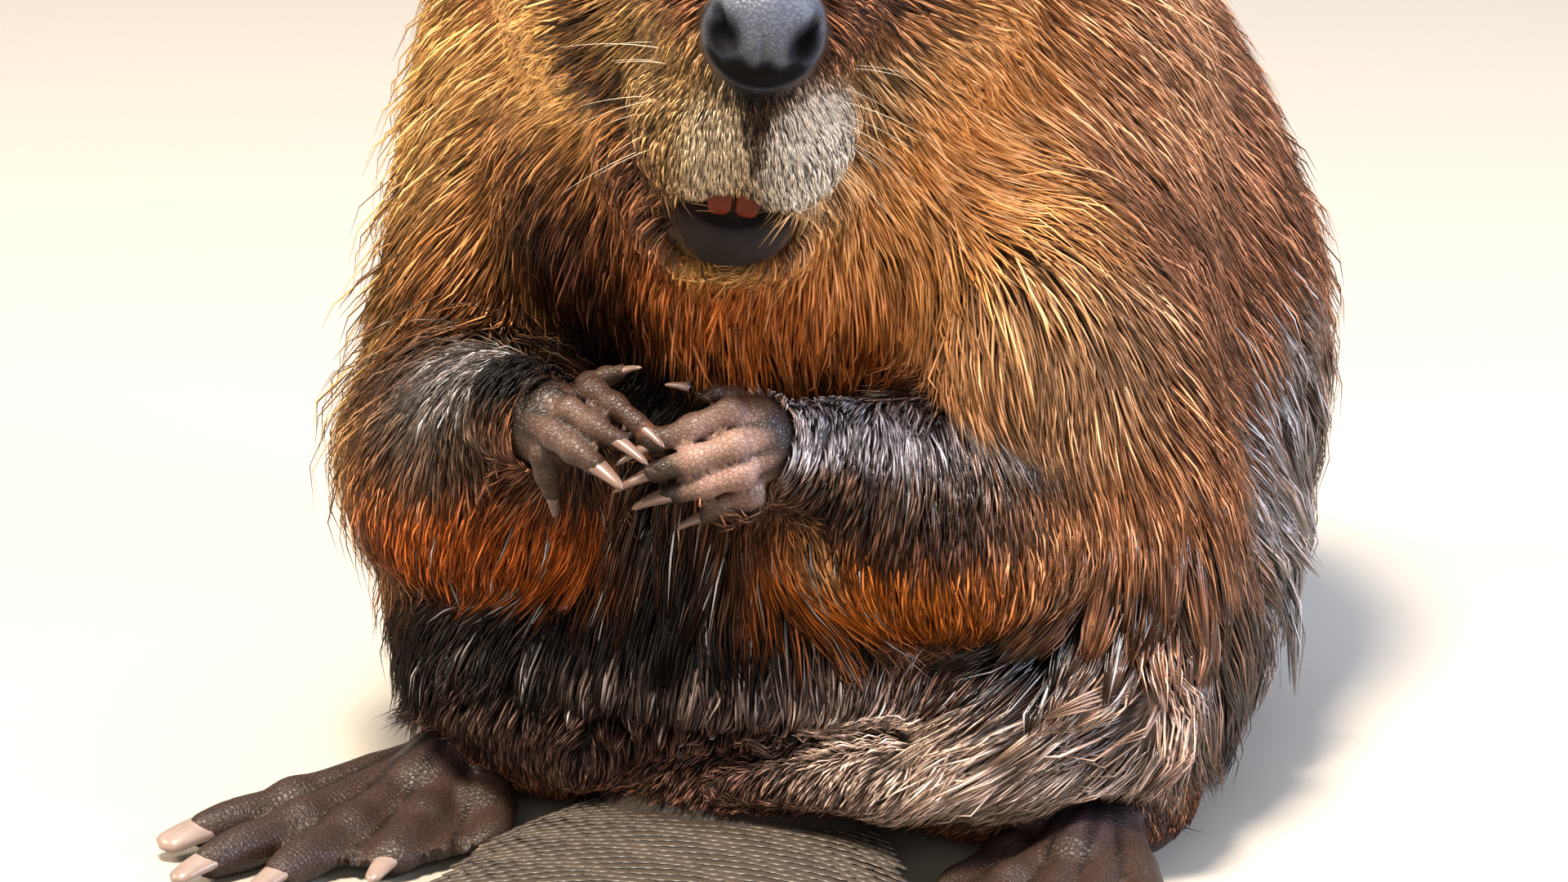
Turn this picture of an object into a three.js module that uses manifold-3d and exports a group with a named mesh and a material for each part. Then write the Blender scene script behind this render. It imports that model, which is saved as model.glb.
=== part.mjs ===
// A North American beaver (Castor canadensis), an adult, as a still life-size model. It sits upright on its
// haunches with its forepaws together before the belly, its head turned a little to its left, and its flat
// tail pushed forward between the hind feet.
//
// Millimetres, +Z up. The beaver faces -Y and its left side is +X. The floor is z = 0.
//
// The flesh is one field: rounded forms that melt into each other, measured to the tips of the coat.
// Each node is a ball of triangles whose points are moved along rays until they meet that field, or the
// parting surface between the node and its neighbour. Parted nodes keep a thin gap.
import * as THREE from "three";
import Module from "manifold-3d";
import { mergeVertices } from "three/addons/utils/BufferGeometryUtils.js";

const wasm = await Module();
wasm.setup();

// ---------------------------------------------------------------- driving dimensions
const GIRTH = 318; // width across the flanks, to the coat's tips
const LAID_OUT_GIRTH = 300; // the forms below are laid out on a body this wide
const U = GIRTH / LAID_OUT_GIRTH;
const GAP = 0.35; // between parted nodes
const HEAD_CENTRE = [16.6, -121, 284];
const HEAD_YAW = 20; // degrees, the nose towards its left
const HEAD_PITCH = 6; // nose down
const HEAD_ROLL = 8; // crown towards its left
const TAIL = { centre: [12, -217], long: 126, wide: 73, turn: 4, rootThick: 14, tipThick: 5 };
const TOE_LENGTHS = [104, 132, 158, 163, 147]; // heel to toe tip, first toe to fifth
const TOE_SPREAD = [-25, -13, -3, 6, 15]; // degrees from the foot's axis, inner toes negative
const FEET = {
  left: { side: 1, heel: [110, -48], out: 3 },
  right: { side: -1, heel: [-74, -46], out: 17 },
};
const HIND_CLAW = { length: 19, radius: 4.2 };
const FORE_CLAW = { length: 11, radius: 2.4 };

const COLOURS = {
  chestnut: 0x6b3a1e,
  golden: 0xb06a2c,
  umber: 0x3a2318,
  muzzle: 0x6d5a44,
  nose: 0x2b2a2d,
  pawSkin: 0x4f3a30,
  tailSkin: 0x5a5046,
  claw: 0xb9a394,
  enamel: 0xb4531c,
  eye: 0x120b08,
};

// ---------------------------------------------------------------- fields
const vec = (p) => new THREE.Vector3(...p).multiplyScalar(U);
const radians = THREE.MathUtils.degToRad;
const probe = new THREE.Vector3();

// A turned ellipsoid. turn is in degrees about X, Y and Z.
function ellipsoid(centre, radii, turn = [0, 0, 0], frame = new THREE.Matrix4()) {
  const [a, b, c] = radii.map((r) => r * U);
  const place = new THREE.Matrix4()
    .makeRotationFromEuler(new THREE.Euler(...turn.map(radians)))
    .setPosition(vec(centre))
    .premultiply(frame);
  const inverse = place.invert();
  return (p) => {
    const q = probe.copy(p).applyMatrix4(inverse);
    const k0 = Math.hypot(q.x / a, q.y / b, q.z / c);
    const k1 = Math.hypot(q.x / (a * a), q.y / (b * b), q.z / (c * c));
    return k1 < 1e-9 ? -Math.min(a, b, c) : (k0 * (k0 - 1)) / k1;
  };
}

// A limb from one ball to another, with a straight side between them.
function limb(from, to, fromRadius, toRadius, frame = new THREE.Matrix4()) {
  const a = vec(from).applyMatrix4(frame);
  const along = vec(to).applyMatrix4(frame).sub(a);
  const lengthSq = along.lengthSq();
  const [ra, rb] = [fromRadius * U, toRadius * U];
  return (p) => {
    const q = probe.copy(p).sub(a);
    const t = THREE.MathUtils.clamp(q.dot(along) / lengthSq, 0, 1);
    return q.addScaledVector(along, -t).length() - THREE.MathUtils.lerp(ra, rb, t);
  };
}

// The side of a plane that its normal points away from.
function behind(point, normal, frame = new THREE.Matrix4()) {
  const at = vec(point).applyMatrix4(frame);
  const n = new THREE.Vector3(...normal).normalize().transformDirection(frame);
  return (p) => probe.copy(p).sub(at).dot(n);
}

const grow = (field, by) => (p) => field(p) - by;
const outside = (field) => (p) => -field(p);
const within = (...fields) => (p) => Math.max(...fields.map((f) => f(p)));
const above = (floor) => (p) => floor - p.z;

// Fields melted together over a distance.
const melt = (distance, ...fields) => {
  const k = distance * U;
  return (p) => {
    let d = fields[0](p);
    for (let i = 1; i < fields.length; i++) {
      const e = fields[i](p);
      const h = Math.max(k - Math.abs(d - e), 0) / k;
      d = Math.min(d, e) - h * h * k * 0.25;
    }
    return d;
  };
};

// A field with hollows that have soft rims.
const hollow = (distance, field, ...hollows) => outside(melt(distance, outside(field), ...hollows));

// The same form on both sides. The layout function gets 1 for the left and -1 for the right.
const bothSides = (layout) => [layout(1), layout(-1)];
const mirrored = ([x, y, z], side) => [x * side, y, z];

// ---------------------------------------------------------------- solids
function solidOf(geometry) {
  const bare = geometry.clone();
  bare.deleteAttribute("normal");
  bare.deleteAttribute("uv");
  const merged = mergeVertices(bare, 1e-3);
  return new wasm.Manifold(
    new wasm.Mesh({
      numProp: 3,
      vertProperties: merged.attributes.position.array,
      triVerts: new Uint32Array(merged.index.array),
    }),
  );
}

// A ball of triangles drawn onto a field from a centre inside it. stretch crowds its points to a long or flat shape.
function wrap(centre, detail, field, stretch = [1, 1, 1]) {
  const ball = new THREE.IcosahedronGeometry(1, detail);
  const position = ball.attributes.position;
  const middle = vec(centre);
  const ray = new THREE.Vector3();
  const at = new THREE.Vector3();
  const FAR = 330 * U;
  const STEP = 5;
  for (let i = 0; i < position.count; i++) {
    ray.fromBufferAttribute(position, i);
    ray.set(ray.x * stretch[0], ray.y * stretch[1], ray.z * stretch[2]).normalize();
    let [inner, outer] = [0, STEP];
    while (outer < FAR && field(at.copy(middle).addScaledVector(ray, outer)) < 0) {
      inner = outer;
      outer += STEP;
    }
    for (let n = 0; n < 16; n++) {
      const t = (inner + outer) / 2;
      if (field(at.copy(middle).addScaledVector(ray, t)) < 0) inner = t;
      else outer = t;
    }
    at.copy(middle).addScaledVector(ray, (inner + outer) / 2);
    position.setXYZ(i, at.x, at.y, Math.abs(at.z) < 0.01 ? 0 : at.z);
  }
  return solidOf(ball);
}

const root = new THREE.Group();

function addNode(name, solid, colour, roughness) {
  const { vertProperties, triVerts, numProp } = solid.getMesh();
  const geometry = new THREE.BufferGeometry();
  const count = vertProperties.length / numProp;
  const position = new Float32Array(count * 3);
  for (let i = 0; i < count; i++) position.set(vertProperties.subarray(i * numProp, i * numProp + 3), i * 3);
  geometry.setAttribute("position", new THREE.BufferAttribute(position, 3));
  geometry.setIndex(new THREE.BufferAttribute(triVerts, 1));
  geometry.computeVertexNormals();
  const material = new THREE.MeshStandardMaterial({ color: colour, roughness, metalness: 0, flatShading: true });
  const mesh = new THREE.Mesh(geometry, material);
  mesh.name = name;
  root.add(mesh);
}

const FUR = 0.75;
const SKIN = 0.5;
const sideOf = (side) => (side > 0 ? "left" : "right");

// ---------------------------------------------------------------- the head's own frame
// Its origin is the middle of the skull, its nose points to -Y and its crown to +Z.
const headFrame = new THREE.Matrix4()
  .makeRotationFromEuler(new THREE.Euler(radians(HEAD_PITCH), radians(HEAD_ROLL), radians(HEAD_YAW), "ZXY"))
  .setPosition(vec(HEAD_CENTRE));
const onHead = (point) => new THREE.Vector3(...point).multiplyScalar(U).applyMatrix4(headFrame).divideScalar(U).toArray();

// ---------------------------------------------------------------- torso, thighs and upper arms
// The body leans a little to its right, so its upper forms are centred nearer -X than the rump is.
const ARMS = {
  left: { shoulder: [71, -18, 212], elbow: [100, -60, 102], wrist: [30, -141, 133] },
  right: { shoulder: [-80, -18, 212], elbow: [-92, -66, 102], wrist: [-45, -148, 141] },
};
const SHOULDER_RADIUS = 42;
const ELBOW_RADIUS = 36;
// The loose fur under each forearm.
const SAGS = {
  left: { at: [60, -106, 97], radii: [50, 33, 26] },
  right: { at: [-72, -106, 97], radii: [40, 33, 28] },
};

const torsoForms = [
  ellipsoid([12, 48, 115], [128, 130, 122]), // rump
  ellipsoid([14, 44, 64], [114, 116, 70]), // seat
  ellipsoid([8, -36, 74], [102, 88, 82]), // belly
  ellipsoid([8, -66, 46], [82, 62, 38]), // lap, over the root of the tail
  ellipsoid([8, 32, 178], [108, 116, 100]), // ribs and back
  ellipsoid([-2, 0, 250], [94, 98, 80]), // shoulders
  ellipsoid([0, -74, 196], [80, 58, 62]), // chest
  ellipsoid([84, -84, 152], [30, 34, 42]), // the left arm's hair, hanging to the forearm
];
const neckForm = limb([0, -10, 268], [12, -88, 272], 80, 70);
const thighForms = bothSides((side) => ellipsoid([12 + side * 74, -28, 56], [58, 88, 62], [0, 0, side * 6]));
const kneeForms = bothSides((side) => ellipsoid([10 + side * 62, -86, 42], [42, 42, 36]));
const upperArmForms = Object.values(ARMS).map(({ shoulder, elbow }) =>
  limb(shoulder, elbow, SHOULDER_RADIUS, ELBOW_RADIUS),
);

// ---------------------------------------------------------------- head forms
const h = (centre, radii, turn) => ellipsoid(centre, radii, turn, headFrame);
const skullForms = [
  h([0, 16, 3], [54, 58, 47]),
  h([0, -12, 10], [41, 50, 33], [-12, 0, 0]),
  ...bothSides((side) => h([side * 36, 8, -21], [36, 48, 42])),
  h([0, 34, -34], [66, 46, 44]),
];
const muzzleForms = [
  h([0, -40, -6], [34, 40, 27], [-8, 0, 0]),
  h([0, -60, -15], [27, 20, 25]),
  h([0, -50, -40], [30, 26, 23]),
  ...bothSides((side) => h([side * 13, -58, -45], [15, 15, 18])),
];
const jawForm = melt(12, h([0, -18, -66], [34, 42, 26], [6, 0, 0]), h([0, -48, -74], [18.5, 16, 13]));
const noseForm = melt(4, h([0, -77, -6], [12, 8, 13]), ...bothSides((side) => h([side * 8.5, -74, -4], [6.5, 8, 9])));

// ---------------------------------------------------------------- the flesh as one field
const shinForms = [limb([122, -92, 46], [60, -131, 33], 16, 11), limb([-80, -86, 40], [-36, -122, 29], 14, 11)];
const torso = melt(9, melt(30, ...torsoForms, ...thighForms, ...kneeForms, ...upperArmForms), ...shinForms);
const eyeSockets = bothSides((side) => h([side * 45, -29, 24], [9, 12, 8], [0, 0, side * -20]));
const headFlesh = hollow(6, melt(22, melt(22, ...skullForms), melt(9, ...muzzleForms)), ...eyeSockets);
const flesh = melt(30, torso, neckForm, headFlesh);
const standing = within(flesh, above(0));

// ---------------------------------------------------------------- tail
const tailTurn = radians(TAIL.turn);
const tailFrame = new THREE.Matrix4()
  .makeRotationZ(tailTurn)
  .setPosition(vec([...TAIL.centre, 0]));
const intoTail = tailFrame.clone().invert();
const TAIL_CURVE = 2.2;

function tailBlade(p) {
  const q = probe.copy(p).applyMatrix4(intoTail);
  const along = q.y / (TAIL.long * U); // -1 at the tip, 1 at the root
  const thick = U * THREE.MathUtils.mapLinear(THREE.MathUtils.clamp(along, -1, 1), -1, 1, TAIL.tipThick, TAIL.rootThick);
  const round =
    Math.abs(q.x / (TAIL.wide * U)) ** TAIL_CURVE +
    Math.abs(along) ** TAIL_CURVE +
    Math.abs((q.z - thick * 0.8) / thick) ** TAIL_CURVE;
  return (round ** (1 / TAIL_CURVE) - 1) * thick;
}
const tailField = within(tailBlade, above(0));
const tailRootField = within(
  melt(14, ellipsoid([6, -66, 20], [38, 62, 24]), ellipsoid([8, -112, 16], [44, 26, 16])),
  above(0),
);
const tailCentre = [...TAIL.centre, 9];

// ---------------------------------------------------------------- feet
function footOf({ side, heel, out }) {
  const axis = (angle, distance) => {
    const turn = radians(side * (out + angle));
    return [heel[0] + Math.sin(turn) * distance, heel[1] - Math.cos(turn) * distance];
  };
  const ball = axis(-3, 84);
  const toes = TOE_LENGTHS.map((length, i) => {
    const tip = axis(TOE_SPREAD[i], length - HIND_CLAW.length);
    const knuckle = axis(TOE_SPREAD[i] * 0.92, length * 0.66);
    const radius = i === 0 ? 5.4 : 6.7;
    return {
      angle: side * (out + TOE_SPREAD[i]),
      tip: [...tip, radius],
      field: melt(
        5,
        limb([...axis(TOE_SPREAD[i] * 0.6, 66), 12], [...knuckle, 9.5], 8.5, radius + 1),
        limb([...knuckle, 9.5], [...tip, radius - 0.5], radius + 1, radius - 1),
      ),
    };
  });
  const field = melt(
    10,
    ellipsoid([...axis(0, 16), 14], [19, 26, 17]),
    limb([...axis(0, 12), 18], [...ball, 11], 17, 12),
    melt(6, ...toes.map((toe) => toe.field)),
    ellipsoid([...axis(-3, 88), 6], [36, 38, 5], [0, 0, side * out]),
  );
  return { toes, ball, field: within(field, above(0)) };
}

// ---------------------------------------------------------------- forepaws
// The fingers of each paw reach for the other paw. Each is its knuckle, its tip and its radius, the thumb last.
const PAWS = {
  left: {
    palm: [25, -153, 140],
    fingers: [
      [[21, -160, 150], [1, -168, 141], 4.2],
      [[24, -165, 142], [2, -171, 133.5], 4.3],
      [[26, -165, 133.5], [5, -168, 126.5], 4.3],
      [[27, -160, 125], [13, -162, 119], 4],
      [[19, -150, 151], [6, -154, 154], 3.2],
    ],
  },
  right: {
    palm: [-33, -157, 140],
    fingers: [
      [[-20, -159, 152], [-5, -166.5, 146.5], 4],
      [[-25, -165, 147.5], [-9, -172, 142.5], 4],
      [[-28, -169, 141], [-14, -175, 135.5], 4.4],
      [[-33, -166, 134], [-31, -164, 122.5], 3.8],
      [[-25, -149, 151], [-14, -151, 156], 3.2],
    ],
  },
};
const pawField = (name) => melt(6, ellipsoid(PAWS[name].palm, [12.5, 10, 13.5]), limb(ARMS[name].wrist, PAWS[name].palm, 13, 11));

// ---------------------------------------------------------------- claws
// A bent, slightly flattened cone with its wide end at the origin, pointing along +Y and curving to -Z.
function clawAt(point, direction, { length, radius }, extra = 0) {
  const cone = new THREE.ConeGeometry((radius + extra) * U, length * U, 6, 2).translate(0, (length * U) / 2, 0);
  const position = cone.attributes.position;
  for (let i = 0; i < position.count; i++) {
    const along = position.getY(i) / (length * U);
    position.setZ(i, position.getZ(i) * 0.8 - along * along * length * U * 0.22);
  }
  const turn = new THREE.Quaternion().setFromRotationMatrix(
    new THREE.Matrix4().lookAt(new THREE.Vector3(), new THREE.Vector3(...direction).negate(), new THREE.Vector3(0, 0, 1)),
  );
  cone.rotateX(Math.PI / 2); // the cone's length now runs along +Z and its curve goes to +Y
  cone.rotateZ(Math.PI);
  return solidOf(cone.applyQuaternion(turn).translate(...vec(point).toArray()));
}

// What is left of a solid when others are cut from it: its largest body, without any sliver.
function without(solid, ...others) {
  const bodies = others.reduce((left, other) => left.subtract(other), solid).decompose();
  return bodies.sort((a, b) => b.volume() - a.volume())[0];
}

// A solid cut off at a plane. The side that the normal points to is kept, from half a gap on.
function cutAt(solid, { point, normal, frame = new THREE.Matrix4() }) {
  const n = new THREE.Vector3(...normal).normalize().transformDirection(frame);
  const offset = vec(point).applyMatrix4(frame).dot(n) + GAP / 2;
  return solid.trimByPlane(n.toArray(), offset);
}
const otherSide = (plane) => ({ ...plane, normal: plane.normal.map((v) => -v) });

// ---------------------------------------------------------------- build: the body, parted later
const NECK_BACK = { point: [6, -44, 262], normal: [0.1, -0.62, 0.78] };
const HEAD_BACK = { point: [0, 30, 0], normal: [0, -0.86, 0.5], frame: headFrame };
const headMiddle = onHead([0, -6, 0]);
const body = wrap([6, 24, 150], 7, within(melt(30, torso, neckForm), above(0)));
const headAndNape = wrap(headMiddle, 6, within(flesh, outside(behind([0, 62, 0], [0, -0.86, 0.5], headFrame))));

// ---------------------------------------------------------------- build: tail and feet
const tail = wrap(tailCentre, 4, tailField, [TAIL.wide, TAIL.long, 22]);
const tailRoom = wrap(tailCentre, 4, grow(tailBlade, GAP), [TAIL.wide, TAIL.long, 22]);
addNode("tail", tail, COLOURS.tailSkin, SKIN);
const tailRootCentre = [6, -70, 16];
const tailRoot = wrap(tailRootCentre, 2, tailRootField, [40, 60, 26]);
const tailRootRoom = wrap(tailRootCentre, 2, grow(tailRootField, GAP), [40, 60, 26]);
addNode("tail_root", without(tailRoot, tailRoom), COLOURS.umber, FUR);

const rooms = [tailRoom, tailRootRoom];
for (const [name, foot] of Object.entries(FEET)) {
  const { toes, ball, field } = footOf(foot);
  const centre = [...ball, 11];
  const stretch = [56, 82, 20];
  const clawRooms = [];
  toes.forEach((toe, i) => {
    const turn = radians(toe.angle);
    const direction = [Math.sin(turn), -Math.cos(turn), -0.02];
    const base = [toe.tip[0], toe.tip[1], toe.tip[2] + 0.5];
    clawRooms.push(clawAt(base, direction, HIND_CLAW, GAP));
    addNode(`hind_claw_${name}_${i + 1}`, clawAt(base, direction, HIND_CLAW), COLOURS.claw, 0.4);
  });
  const solid = without(wrap(centre, 4, field, stretch), ...clawRooms, tailRoom);
  addNode(`hind_foot_${name}`, solid, COLOURS.pawSkin, SKIN);
  rooms.push(wrap(centre, 4, grow(field, GAP), stretch));
}

// ---------------------------------------------------------------- build: arms and forepaws
const midway = (a, b, t = 0.5) => a.map((v, axis) => v + (b[axis] - v) * t);

for (const [name, { shoulder, elbow, wrist }] of Object.entries(ARMS)) {
  const { palm, fingers } = PAWS[name];
  let paw = wrap(palm, 2, pawField(name));
  const clawRooms = [];
  fingers.forEach(([knuckle, tip, radius], i) => {
    const finger = melt(3, limb(palm, knuckle, radius + 1, radius), limb(knuckle, tip, radius, radius - 1));
    paw = paw.add(wrap(knuckle, 1, finger));
    const direction = tip.map((v, axis) => v - knuckle[axis]);
    const base = midway(knuckle, tip, 1.05);
    clawRooms.push(clawAt(base, direction, FORE_CLAW, GAP));
    addNode(`fore_claw_${name}_${i + 1}`, clawAt(base, direction, FORE_CLAW), COLOURS.claw, 0.4);
  });
  addNode(`forepaw_${name}`, without(paw, ...clawRooms), COLOURS.pawSkin, SKIN);
  const pawRoom = wrap(palm, 2, grow(pawField(name), GAP)).add(paw);

  const sag = ellipsoid(SAGS[name].at, SAGS[name].radii);
  const forearmField = melt(30, limb(elbow, wrist, 34, 18), sag);
  const forearmCentre = midway(midway(elbow, wrist), SAGS[name].at);
  const forearm = wrap(forearmCentre, 3, forearmField);
  const forearmRoom = wrap(forearmCentre, 3, grow(forearmField, GAP));
  addNode(`forearm_${name}`, without(forearm, pawRoom, ...clawRooms), COLOURS.umber, FUR);

  const armCell = limb(shoulder, elbow, SHOULDER_RADIUS + 5, ELBOW_RADIUS + 5);
  const armCentre = midway(shoulder, elbow);
  const upperArm = body.intersect(wrap(armCentre, 2, armCell));
  addNode(`upper_arm_${name}`, without(upperArm, forearmRoom), COLOURS.chestnut, FUR);
  rooms.push(wrap(armCentre, 2, grow(armCell, GAP)), forearmRoom, pawRoom);
}

// ---------------------------------------------------------------- build: thighs
for (const side of [1, -1]) {
  const cell = ellipsoid([10 + side * 90, -40, 48], [70, 106, 84], [0, 0, side * 6]);
  const centre = [10 + side * 78, -44, 50];
  const thigh = body.intersect(wrap(centre, 2, cell));
  addNode(`thigh_${sideOf(side)}`, without(thigh, ...rooms), COLOURS.chestnut, FUR);
  rooms.push(wrap(centre, 2, grow(cell, GAP)));
}

// ---------------------------------------------------------------- build: trunk and neck
addNode("trunk", without(cutAt(body, otherSide(NECK_BACK)), ...rooms), COLOURS.chestnut, FUR);
const neck = cutAt(cutAt(body.add(headAndNape), NECK_BACK), otherSide(HEAD_BACK));
addNode("neck", without(neck, ...rooms), COLOURS.golden, FUR);

// ---------------------------------------------------------------- build: head
const EYE = { at: [41, -26, 21], radius: 7.5 };
const EAR = { at: [43, 30, 38], radii: [13, 6, 17] };
const TOOTH = { at: [0, -63, -65], size: [15, 5, 18] };

const nose = wrap(onHead([0, -75, -4]), 2, noseForm);
const noseRoom = wrap(onHead([0, -75, -4]), 2, grow(noseForm, GAP));
addNode("nose", nose, COLOURS.nose, 0.35);

const headRooms = [noseRoom];
for (const side of [1, -1]) {
  const eyeAt = mirrored(EYE.at, side);
  const eye = h(eyeAt, [EYE.radius, EYE.radius, EYE.radius]);
  addNode(`eye_${sideOf(side)}`, wrap(onHead(eyeAt), 1, eye), COLOURS.eye, 0.1);
  headRooms.push(wrap(onHead(eyeAt), 1, grow(eye, GAP)));

  const earAt = mirrored(EAR.at, side);
  const ear = h(earAt, EAR.radii, [-12, side * 26, side * 24]);
  addNode(`ear_${sideOf(side)}`, wrap(onHead(earAt), 2, ear), COLOURS.umber, FUR);
  headRooms.push(wrap(onHead(earAt), 2, grow(ear, GAP)));
}

const toothBox = (extra) => {
  const [x, y, z] = TOOTH.size.map((v) => (v + extra * 2) * U);
  return solidOf(new THREE.BoxGeometry(x, y, z).translate(...vec(TOOTH.at).toArray()).applyMatrix4(headFrame));
};
addNode("incisors", toothBox(0), COLOURS.enamel, 0.3);

const headSolid = cutAt(cutAt(headAndNape, HEAD_BACK), NECK_BACK);
addNode("head", without(headSolid, ...headRooms, toothBox(GAP), ...rooms), COLOURS.golden, FUR);

const jaw = wrap(onHead([0, -34, -70]), 2, jawForm);
const headRoom = wrap(headMiddle, 6, grow(flesh, GAP));
addNode("jaw", without(jaw, headRoom, toothBox(GAP)), COLOURS.golden, FUR);

export default root;
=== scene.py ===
"""A North American beaver (Castor canadensis), an adult, as a still life-size model over its CAD solids.

The flesh is one skin, made from the same rounded forms as the solids, each sunk by the depth of the coat
that grows on it. Guard hair lies over it in thin pointed locks. Lengths in the forms are the laid-out
millimetres of the CAD source, and U turns them to real ones.
"""
import math

import bpy
import numpy as np
from mathutils import Matrix, Vector
from mathutils.kdtree import KDTree


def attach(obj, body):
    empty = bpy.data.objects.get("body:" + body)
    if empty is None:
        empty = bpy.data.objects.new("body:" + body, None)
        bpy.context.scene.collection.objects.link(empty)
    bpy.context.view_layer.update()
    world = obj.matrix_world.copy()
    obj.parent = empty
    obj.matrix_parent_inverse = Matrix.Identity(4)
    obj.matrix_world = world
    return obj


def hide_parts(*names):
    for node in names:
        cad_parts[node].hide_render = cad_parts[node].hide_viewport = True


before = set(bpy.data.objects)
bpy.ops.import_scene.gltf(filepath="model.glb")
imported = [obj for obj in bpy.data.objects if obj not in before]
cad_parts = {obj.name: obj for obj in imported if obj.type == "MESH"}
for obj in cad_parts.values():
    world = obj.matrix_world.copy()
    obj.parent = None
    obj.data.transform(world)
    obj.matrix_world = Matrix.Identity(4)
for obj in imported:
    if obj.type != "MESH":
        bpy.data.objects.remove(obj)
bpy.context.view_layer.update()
SEED = 11
U = 318 / 300
METRES = U / 1000
# How far the skin stays above the floor.
FLOOR_GAP = 0.35


def hex_rgb(code):
    """An sRGB hex value as linear red, green and blue."""
    parts = [((code >> shift) & 255) / 255 for shift in (16, 8, 0)]
    return tuple(c / 12.92 if c <= 0.04045 else ((c + 0.055) / 1.055) ** 2.4 for c in parts)


def rgb(code):
    """The same as an array."""
    return np.array(hex_rgb(code), np.float32)


# Rounded forms as fields.
def turn_matrix(x, y, z, order="XYZ"):
    """Turns about the three axes, in degrees. The last one in the order is made first."""
    turns = {}
    for axis, degrees in zip("XYZ", (x, y, z)):
        c, s = math.cos(math.radians(degrees)), math.sin(math.radians(degrees))
        i, j = {"X": (1, 2), "Y": (2, 0), "Z": (0, 1)}[axis]
        m = np.eye(3)
        m[i, i] = m[j, j] = c
        m[i, j], m[j, i] = -s, s
        turns[axis] = m
    return turns[order[0]] @ turns[order[1]] @ turns[order[2]]


def length_of(rows):
    """The length of each row of a two-dimensional array."""
    return np.sqrt(np.einsum("ij,ij->i", rows, rows))


def unit(rows):
    """Each row at a length of 1."""
    return rows / np.maximum(length_of(rows), 1e-9)[:, None]


def ellipsoid(centre, radii, turn=(0, 0, 0), place=None, sink=0.0):
    """The distance to an ellipsoid, whose radii are less by what it is sunk."""
    r, c = turn_matrix(*turn), np.array(centre, float)
    if place:
        r, c = place[0] @ r, place[0] @ c + place[1]
    radii = np.array(radii, float) - sink
    near = (r / radii).astype(np.float32)
    slope = (r / radii**2).astype(np.float32)
    c = c.astype(np.float32)

    def field(p):
        q = p - c
        k0 = length_of(q @ near)
        return k0 * (k0 - 1) / np.maximum(length_of(q @ slope), 1e-9)

    return field


def limb(start, end, start_radius, end_radius, sink=0.0):
    """The distance to a tapered rod with round ends."""
    a, b = np.array(start, float), np.array(end, float)
    a, along = a.astype(np.float32), (b - a).astype(np.float32)

    def field(p):
        q = p - a
        t = np.clip(q @ along / (along @ along), 0, 1)
        radius = start_radius + (end_radius - start_radius) * t - sink
        return length_of(q - t[:, None] * along) - radius

    return field


def join(d, e, k):
    """Two distances melted together over k."""
    close = np.maximum(k - np.abs(d - e), 0) / k
    return np.minimum(d, e) - close * close * k * 0.25


def melt(k, *fields):
    """Several forms as one, melted together over k."""
    def field(p):
        d = fields[0](p)
        for f in fields[1:]:
            d = join(d, f(p), k)
        return d

    return field


def hollow(k, base, *hollows):
    """A form with others taken out of it, with edges rounded over k."""
    def field(p):
        d = -base(p)
        for f in hollows:
            d = join(d, f(p), k)
        return -d

    return field


# Beyond this distance a form is too far off to melt into its neighbours.
FAR_OFF = 30


def nearby(field, centre, reach):
    """The same field, worked out only near its own place. Further off it is a plain distance."""
    c = np.array(centre, np.float32)

    def quick(p):
        d = length_of(p - c) - reach
        close = d < FAR_OFF
        d = np.maximum(d, FAR_OFF)
        if close.any():
            d[close] = field(p[close])
        return d

    return quick


def both(layout):
    """The forms of the left and of the right side."""
    return [layout(1), layout(-1)]


# The beaver's forms.
HEAD_CENTRE = np.array([16.6, -121, 284])
HEAD = (turn_matrix(6, 8, 20, "ZXY"), HEAD_CENTRE)
SHOULDER = {1: (71, -18, 212), -1: (-80, -18, 212)}
ELBOW = {1: (100, -60, 102), -1: (-92, -66, 102)}
WRIST = {1: (30, -141, 133), -1: (-45, -148, 141)}
SAG = {1: ((60, -106, 97), (50, 33, 26)), -1: ((-72, -106, 97), (40, 33, 28))}
HEEL = {1: (110, -48), -1: (-74, -46)}
TOE_OUT = {1: 3, -1: 17}
TOE_LENGTHS = (104, 132, 158, 163, 147)
TOE_SPREAD = (-25, -13, -3, 6, 15)
TOE_ROOT, NAIL_ROOM = 54, 19
TAIL_CENTRE, TAIL_LONG, TAIL_WIDE, TAIL_TURN = (12, -217), 126, 73, 4
TAIL_ROOT_THICK, TAIL_TIP_THICK, TAIL_CURVE = 14, 5, 2.2
# How far the main forms melt into each other.
TRUNK_BLEND, LEG_BLEND, ARM_BLEND, WRIST_BLEND, TAIL_BLEND = 30, 6, 9, 7, 4
EYE_AT, EYE_RADIUS = (41, -26, 21), 7.5
EAR_AT, EAR_RADII = (43, 30, 38), (13, 6, 17)


def mirrored(point, side):
    return (point[0] * side, point[1], point[2])


def h(centre, radii, turn=(0, 0, 0), sink=0.0):
    """An ellipsoid in the head's frame."""
    return ellipsoid(centre, radii, turn, HEAD, sink)


def on_head(point):
    return HEAD[0] @ np.array(point, float) + HEAD[1]


def to_head(p):
    return (p - HEAD[1].astype(np.float32)) @ HEAD[0].astype(np.float32)


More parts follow.
